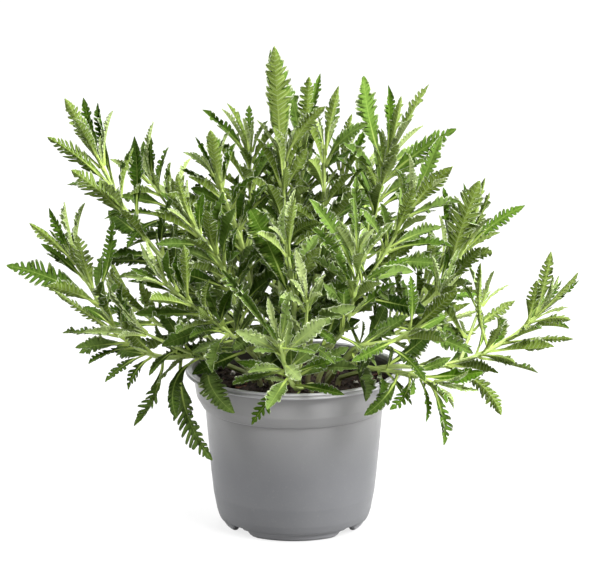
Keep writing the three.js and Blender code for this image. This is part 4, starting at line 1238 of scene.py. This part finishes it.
def blade_half(leaf, share, widest):
    """Half width of the fine blade, near its solid's, with its own widest place and a stalk."""
    if leaf.kind == "frilled":
        outline = smooth(share, WIDEN_FROM, FRILLED_FULL) * (1 - STALK_WIDTH) + STALK_WIDTH
        widest, sharpness = FRILLED_WIDEST, FRILLED_SHARPNESS
    else:
        outline, sharpness = half_width(np.minimum(share, WIDEST - 0.001)), TIP_SHARPNESS
    past = np.clip((share - widest) / (1 - widest), 0, 1)
    pointed = np.abs(np.cos(past * math.pi / 2)) ** sharpness
    stalk = STALK_HALF * leaf.length * (share < STALK_TO)
    return np.maximum(of_kind(FULLNESS, leaf) * leaf.half * np.minimum(outline, pointed), stalk)


def half_blade(leaf, shape):
    """One half of a blade: its width at each row, and how it folds, curls and waves."""
    cut, rows, cutting, lobe = KINDS[leaf.kind], shape["rows"], shape["cutting"], shape["lobe"]
    each = draws.standard_normal((3, lobe.max() + 1))[:, lobe] * cutting
    slant = cut["slant"] * shape["slanting"]
    slid = rows + slant * blade_half(leaf, rows, shape["widest"]) / leaf.length
    wide = blade_half(leaf, np.minimum(slid, LAST_WIDTH), shape["widest"])
    notch = cut["depth"] * shape["depth"] * cutting * (1 - shape["reach"])
    return {
        "wide": wide * (1 - np.minimum(notch, NOTCH_MOST)) * (1 + LOBE_WIDTH_SPREAD * each[0]),
        "slant": slant * (1 + LOBE_SLANT_SPREAD * each[1]),
        "fold": np.clip(shape["fold"] + draws.normal(0, FOLD_SPREAD), 0, FOLD_MOST),
        "curl": draws.normal(*CURL) * smooth(rows, *CURL_LIMITS),
        "lobe_curl": LOBE_CURL[0] * cutting * draws.uniform(-1, 1) + LOBE_CURL[1] * each[2],
        "wave": WAVE * draws.uniform(*WAVE_SPREAD),
        "wave_start": draws.uniform(0, math.tau),
    }


def leaf_mesh(leaf):
    """One leaf's closed mesh: its points, triangles, which of them are the underside's, and the
    places along, across and among the lobes that its finish reads."""
    cut = KINDS[leaf.kind]
    make = "small" if leaf.kind in ("inner", "young") else "large"
    rows, phase, reach, lobes, middle = lobed_rows(leaf, make)
    start, end = draws.uniform(*CUT_FROM), draws.uniform(*CUT_TO)
    if leaf.kind == "frilled":
        start, end = CUT_FRILLED
    fold = cut["fold"] + draws.normal(*of_kind(FOLD_MORE, leaf))
    fold += FOLD_AT_TIP * smooth(leaf.high, *FOLD_LATE) * (leaf.kind != "broad")
    cutting = smooth(rows, start, start + CUT_RISE)
    shape = {
        "rows": rows, "reach": reach, "lobe": np.clip(np.floor(phase).astype(int), 0, lobes),
        "cutting": cutting * (1 - smooth(rows, end - CUT_FALL, end + CUT_FALL)),
        "slanting": smooth(rows, *SLANT_RISE) * (1 - smooth(rows, *SLANT_FALL)),
        "depth": draws.uniform(*of_kind(LOBE_DEPTH, leaf)),
        "widest": WIDEST + draws.normal(0, WIDEST_SPREAD),
        "fold": fold,
    }
    halves = [half_blade(leaf, shape) for _ in (0, 1)]
    bend = draws.normal(0, BEND_SPREAD)
    crinkle = of_kind(CRINKLE, leaf) * leaf.half
    crinkle_start = draws.uniform(0, math.tau, 2)
    ridge = 0.5 + 0.5 * np.cos(math.tau * (phase - middle))
    rib = RIB_AT_TIP + RIB_AT_FOOT * (1 - rows) ** RIB_TAPER * min(1, leaf.length / RIB_LEAF)
    rib_share = np.minimum(rib, RIB_MOST * halves[0]["wide"]) / halves[0]["wide"]
    thick = STALK_THICK * (1 - smooth(rows, 0.0, THICK_TO)) * min(1, leaf.length / THICK_LEAF)
    thick = BLADE_THICK + thick

    def column(share, way, under):
        """A line of points along the blade, at a share across the half on the side of way."""
        half = halves[(way + 1) // 2]
        angle = half["fold"] + half["curl"] * share ** 2 / 3 + half["lobe_curl"] * share ** 4 / 5
        out = share * half["wide"]
        along = rows * leaf.length + half["slant"] * out
        puff = PUFF * cut["pitch"] * ridge * smooth(share, *PUFF_LIMITS) * shape["cutting"]
        wave = np.sin(math.tau * along / WAVE_LENGTH + half["wave_start"])
        (a, b), (c, d) = CRINKLE_WAVES
        ripple = np.sin(along * a + way * share * b + crinkle_start[0])
        ripple = ripple * np.sin(along * c - way * share * d + crinkle_start[1])
        lift = out * np.sin(angle) + puff + wave * half["wave"] * out * share
        lift = lift + crinkle * ripple * smooth(share, *CRINKLE_LIMITS)
        if under:
            near_rib = share < RIB_UNDER * rib_share
            rib_depth = RIB_RISE * near_rib * smooth(rows, *RIB_SINKS)
            lift = lift - thick * (1 - share ** 2) - rib_depth
        across = way * out * np.cos(angle) + bend * along * (along / leaf.length)
        point, _ = leaf.at(along, across, lift - np.abs(across) * math.tan(cut["fold"]))
        return point, np.stack([along / leaf.length, way * share * np.ones_like(rows),
                                phase - middle, way * out / rib], -1)

    one = np.ones_like(rows)
    out, inner = ACROSS[make] * one, [(rib_share, -1), (0 * one, 1), (rib_share, 1)]
    if make == "small":
        inner = inner[1:2]
    upper = [(one, -1), (out, -1), *inner, (out, 1), (one, 1)]
    lower = [(UNDER_SHARE * out, -1), *(inner[:1] + inner[2:]), (UNDER_SHARE * out, 1)]
    made = [column(*place, False) for place in upper] + [column(*place, True) for place in lower]
    columns, edge = len(made), len(upper) - 1
    root = leaf.at(np.array([-SUNK_IN_SHOOT]), np.zeros(1))[0]
    tip = leaf.at(np.array([leaf.length]), np.array([bend * leaf.length]))[0]
    body = np.stack([points for points, _ in made], 1).reshape(-1, 3)
    points = np.concatenate([root, tip, body])
    blade = np.stack([facts for _, facts in made], 1).reshape(-1, 4)
    blade = np.concatenate([[[0, 0, 0, 0], [1, 0, phase[-1], 0]], blade])

    row = 2 + columns * np.arange(len(rows))[:, None]
    triangles, sides = [], []
    for under, order in enumerate(([*range(edge + 1)], [0, *range(edge + 1, columns), edge])):
        grid = row + np.array(order)
        a, b = grid[:-1, :-1], grid[:-1, 1:]
        d, c = grid[1:, :-1], grid[1:, 1:]
        first = np.stack([np.zeros_like(a[0]), grid[0, :-1], grid[0, 1:]], -1)
        last = np.stack([np.ones_like(a[0]), grid[-1, 1:], grid[-1, :-1]], -1)
        found = [np.stack(corners, -1).reshape(-1, 3) for corners in ((a, d, c), (a, c, b))]
        found = np.concatenate([*found, first, last])
        triangles.append(found[:, ::-1] if under else found)
        sides.append(np.full(len(found), float(under)))
    return points, np.concatenate(triangles), np.concatenate(sides), blade


# How a shoot is modelled: its sides and rings, a main and a side shoot's radius, the share of it
# at the tip, how square it is, and how far it swells at a knot and over what share of its length.
SHOOT_SIDES = 12
SHOOT_RINGS = 44
STEM_RADIUS = 1.7
TWIG_RADIUS = 1.25
TIP_SHARE = 0.55
SQUARENESS = 0.09
KNOT_SWELL = 0.3
KNOT_LONG = 0.012


def shoot_mesh(axis, radius, swells):
    """A square shoot with rounded corners, swollen a little at the knots that its leaves leave."""
    shares = np.linspace(axis.start, 1, SHOOT_RINGS)
    turns = math.tau * np.arange(SHOOT_SIDES) / SHOOT_SIDES
    section = 1 + SQUARENESS * np.cos(4 * turns)
    points = []
    for share, f in zip(shares, np.linspace(0, 1, SHOOT_RINGS)):
        point, _, side, up = axis.place(share)
        swell = sum(math.exp(-(((share - s) / KNOT_LONG) ** 2)) for s in swells)
        size = radius * between((1, TIP_SHARE), f) * (1 + KNOT_SWELL * min(swell, 1))
        ring = side * np.cos(turns)[:, None] + up * np.sin(turns)[:, None]
        points.append(point + ring * (size * section)[:, None])
    points.append([axis.place(axis.start)[0], axis.place(1)[0]])
    points = np.concatenate(points)
    ring = np.arange(SHOOT_SIDES)
    after = (ring + 1) % SHOOT_SIDES
    top = (SHOOT_RINGS - 1) * SHOOT_SIDES
    foot, tip = 0 * ring + len(points) - 2, 0 * ring + len(points) - 1
    corners = []
    for k in range(0, top, SHOOT_SIDES):
        a, b = k + ring, k + after
        corners += [(a, b, b + SHOOT_SIDES), (a, b + SHOOT_SIDES, a + SHOOT_SIDES)]
    corners += [(foot, after, ring), (tip, top + ring, top + after)]
    triangles = np.concatenate([np.stack(corner, -1) for corner in corners])
    rise = np.concatenate([np.repeat(np.clip(shares, -1, 1), SHOOT_SIDES), [axis.start, 1]])
    return points, triangles, rise


# The leaves' and shoots' finishes. blade holds a point's places along, across and among the lobes, and
# rib how many half widths of the midrib it lies from it. growth_and_shade holds the leaf's youth, a
# draw of its own, and how high it grows, lowered on stems given painted shade. The old greens also
# paint shade low in the plant, in folds and at curling lobe tips, and the pale edge colour is felt
# with a painted sheen.
LEAF_OLD_AND_SHADED = (0.0042, 0.0135, 0.0008, 1)
LEAF_MID = (0.062, 0.143, 0.003, 1)
LEAF_YOUNG = (0.34, 0.415, 0.16, 1)
LEAF_UNDER = (0.151, 0.228, 0.014, 1)
LEAF_UNDER_OLD_AND_SHADED = (0.027, 0.056, 0.001, 1)
MIDRIB = (0.37, 0.475, 0.11, 1)
PALE_FELT_AND_SHEEN = (0.575, 0.63, 0.43, 1)
VALLEY_SHADE = (0.006, 0.014, 0.001, 1)
FELT = (0.42, 0.48, 0.29, 1)
LIGHT_THROUGH = (0.26, 0.42, 0.02, 1)
SHOOT_GREEN = (0.335, 0.43, 0.105, 1)
SHOOT_BROWN = (0.10, 0.085, 0.03, 1)
# Sizes of blotches, then of the grain, with its strength and depth.
LEAF_BLOTCH = 0.006
LEAF_GRAIN = (0.00028, 0.35, 0.00015)
SHOOT_BLOTCH = 0.004
SHOOT_GRAIN = (0.0003, 0.3, 0.00015)
SOFT_SKIN = {"IOR": 1.42}
LEAF_SHEEN = {"Specular IOR Level": 0.03, "Sheen Weight": 0.03, "Sheen Roughness": 0.22,
              "Sheen Tint": (0.85, 0.95, 0.75, 1)}
SKIN_ROUGHNESS = 0.55
# Limits of each mark on a leaf, and often the shares at them: painted shade in the folds between
# lobes, veins, the midrib, the pale edge of felt and painted sheen, painted shade at the lobes'
# curling tips, painted light and shade by height, and felt.
OUTWARDS = (0.3, 0.8)
GROOVE_SHADE = (-0.2, -1.0)
VEIN = (0.9, 1.0)
VEIN_FADES = (0.95, 0.2)
RIB_EDGE = (1.5, 0.7)
EDGE = (0.8, 0.98)
EDGE_RISES = (0.1, 0.85, 0.15, 0.85)
SHONE_ON = (0.15, 0.95, 0, 0.75)
CURL_SHADE_LOBE = (0.0, 0.7)
CURL_SHADE_EDGE = (0.7, 0.92)
CURL_SHADE_AGE = (0.4, 0.1, 0, 0.6)
RIB_FADES = (0.62, 0.2, 0.22, 0.95)
FELTED = (0.0, 1.0, 0.03, 0.2)
BROWN_FOOT = (0.3, -0.15)
# How much of each shows: of a leaf's own draw, then on the upper face and on the underside.
OWN_AGE = 0.1
OWN_RIPENESS = 0.4
UPPER = {"patches": 0.18, "groove_shade": 0.6, "vein": 0.14}
LOWER = {"groove_shade": 0.7, "vein": 0.4, "edge": 0.75}
LIT_THROUGH = 0.55
TRANSLUCENCY = 0.14
SHOOT_PATCHES = 0.3
SHOOT_FELT = 0.2


def attribute(tree, name, result="Fac"):
    return node(tree, "Attribute", attribute_name=name, attribute_type="GEOMETRY").outputs[result]


def parts_of(tree, name):
    return node(tree, "SeparateXYZ", {0: attribute(tree, name, "Vector")}).outputs


leaf_finish, tree = new_material("felted_leaf")
along, across, phase = parts_of(tree, "blade")
youth, own, high = parts_of(tree, "growth_and_shade")
under = attribute(tree, "under")
away = worked("ABSOLUTE", across)
ridge = worked("COSINE", times(phase, math.tau))
# Painted shade in the folds between lobes, on both faces.
groove_shade = times(ramp(ridge, *GROOVE_SHADE), ramp(away, *OUTWARDS))
vein = times(ramp(ridge, *VEIN), ramp(away, *VEIN_FADES))
midrib = ramp(worked("ABSOLUTE", attribute(tree, "rib")), *RIB_EDGE)
# The pale edge is felt and a painted sheen.
margin_felt_and_sheen = ramp(away, *EDGE)
patches = grouped(tree, blotches, LEAF_BLOTCH)
grain = grouped(tree, fine_grain, LEAF_GRAIN[0])

age = plus(youth, times(own, OWN_AGE))
# Painted shade: leaves are darker low in the plant and on stems set in shade, along with a tone of
# their own.
ripe_and_lit = plus(times(own, OWN_RIPENESS), ramp(high, *SHONE_ON))
green = mixed(tree, age, mixed(tree, ripe_and_lit, LEAF_OLD_AND_SHADED, LEAF_MID), LEAF_YOUNG)
green = layered(tree, green, [
    (patches["Patches"], UPPER["patches"], LEAF_MID),
    (groove_shade, UPPER["groove_shade"], VALLEY_SHADE),
    (vein, UPPER["vein"], MIDRIB),
    (margin_felt_and_sheen, ramp(high, *EDGE_RISES), PALE_FELT_AND_SHEEN),
])
pale = mixed(tree, age, mixed(tree, ripe_and_lit, LEAF_UNDER_OLD_AND_SHADED, LEAF_UNDER), LEAF_YOUNG)
pale = layered(tree, pale, [
    (vein, LOWER["vein"], PALE_FELT_AND_SHEEN),
    (groove_shade, LOWER["groove_shade"], LEAF_OLD_AND_SHADED),
    (margin_felt_and_sheen, LOWER["edge"], PALE_FELT_AND_SHEEN),
])
# Painted shade at the lobes' curling tips, more on old leaves.
curl_shade = times(ramp(ridge, *CURL_SHADE_LOBE), ramp(away, *CURL_SHADE_EDGE))
felted = times(ramp(worked("ADD", under, youth), *FELTED), ripe_and_lit)
colour = layered(tree, mixed(tree, under, green, pale), [
    (curl_shade, ramp(age, *CURL_SHADE_AGE), LEAF_OLD_AND_SHADED),
    (midrib, ramp(along, *RIB_FADES), MIDRIB),
    (grain["Mask"], felted, FELT),
])
skin, relief = skinned(tree, colour, SKIN_ROUGHNESS, LEAF_GRAIN[1:], grain,
                       {**SOFT_SKIN, **LEAF_SHEEN})
through = node(tree, "BsdfTranslucent", {
    "Color": mixed(tree, LIT_THROUGH, colour, LIGHT_THROUGH), "Normal": relief,
}).outputs[0]
blend = node(tree, "MixShader", {0: TRANSLUCENCY, 1: skin, 2: through}).outputs[0]
node(tree, "OutputMaterial", {"Surface": blend})

shoot_finish, tree = new_material("square_shoot")
patches = grouped(tree, blotches, SHOOT_BLOTCH)
grain = grouped(tree, fine_grain, SHOOT_GRAIN[0])
colour = mixed(tree, ramp(attribute(tree, "rise"), *BROWN_FOOT), SHOOT_GREEN, SHOOT_BROWN)
colour = layered(tree, colour, [
    (patches["Patches"], SHOOT_PATCHES, LEAF_MID), (grain["Mask"], SHOOT_FELT, FELT),
])
skin, _ = skinned(tree, colour, SKIN_ROUGHNESS, SHOOT_GRAIN[1:], grain, SOFT_SKIN)
node(tree, "OutputMaterial", {"Surface": skin})

# Each leafy stem is one piece, in place of its solid. Young leaves and those of some stems are paler
# and more felted, leaves low down and on the shaded side are painted darker, as painted shade, and the
# broad leaves at the front are frilled.
YOUTH = {"young": 0.55, "small": 0.1, "broad": 0.05, "narrow": 0.05, "others": 0.0}
YOUTH_SPREAD = 0.06
YOUNG_STEM = {"front_low": 0.6, "front_mid": 0.35, "upper_right": 0.25}
YOUNG_FROM = (0.4, 0.95)
YOUNG_LARGE = 0.25
SHADED = {"far_left": 0.7, "upper_left": 0.55, "left_mid": 0.7, "mid_left": 0.75,
          "top_left": 0.75, "top_right": 0.9}
FRILLED_STEMS = ("front_low", "front_mid")
draws = np.random.default_rng(7)
for name in names:
    parts = []
    for i, axis in enumerate(axes[name]):
        radius = STEM_RADIUS if i == 0 else TWIG_RADIUS
        points, triangles, rise = shoot_mesh(axis, radius, knots[name][i])
        parts.append((points, triangles, np.ones(len(triangles)), np.zeros(len(triangles)),
                      np.zeros((len(points), 4)), np.zeros((len(points), 3)), rise))
    for leaf in leaves[name]:
        felted = YOUNG_STEM.get(name, 0) * smooth(leaf.high, *YOUNG_FROM)
        felted *= 1 if leaf.kind in ("young", "inner") else YOUNG_LARGE
        youth = min(1, of_kind(YOUTH, leaf) + felted + draws.normal(0, YOUTH_SPREAD))
        if name in FRILLED_STEMS and leaf.kind == "broad":
            leaf.kind = "frilled"
        points, triangles, under, blade = leaf_mesh(leaf)
        # The third fact is the leaf's height, lowered by its stem's painted shade.
        facts = (max(0, youth), draws.uniform(), leaf.high * SHADED.get(name, 1))
        parts.append((points, triangles, np.zeros(len(triangles)), under, blade,
                      np.tile(facts, (len(points), 1)), np.ones(len(points))))
    starts = np.cumsum([0] + [len(part[0]) for part in parts])
    triangles = np.concatenate([part[1] + start for part, start in zip(parts, starts)])
    points, _, slots, under, blade, growth_and_shade, rise = (np.concatenate(each) for each in zip(*parts))
    piece = shaded_object(
        "leafy_" + name, points, triangles, [leaf_finish, shoot_finish], slots,
        [("under", "FLOAT", "FACE", under), ("blade", "FLOAT_VECTOR", "POINT", blade[:, :3]),
         ("rib", "FLOAT", "POINT", blade[:, 3]), ("growth_and_shade", "FLOAT_VECTOR", "POINT", growth_and_shade),
         ("rise", "FLOAT", "POINT", rise)],
    )
    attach(piece, "root")
    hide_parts("stem_" + name)
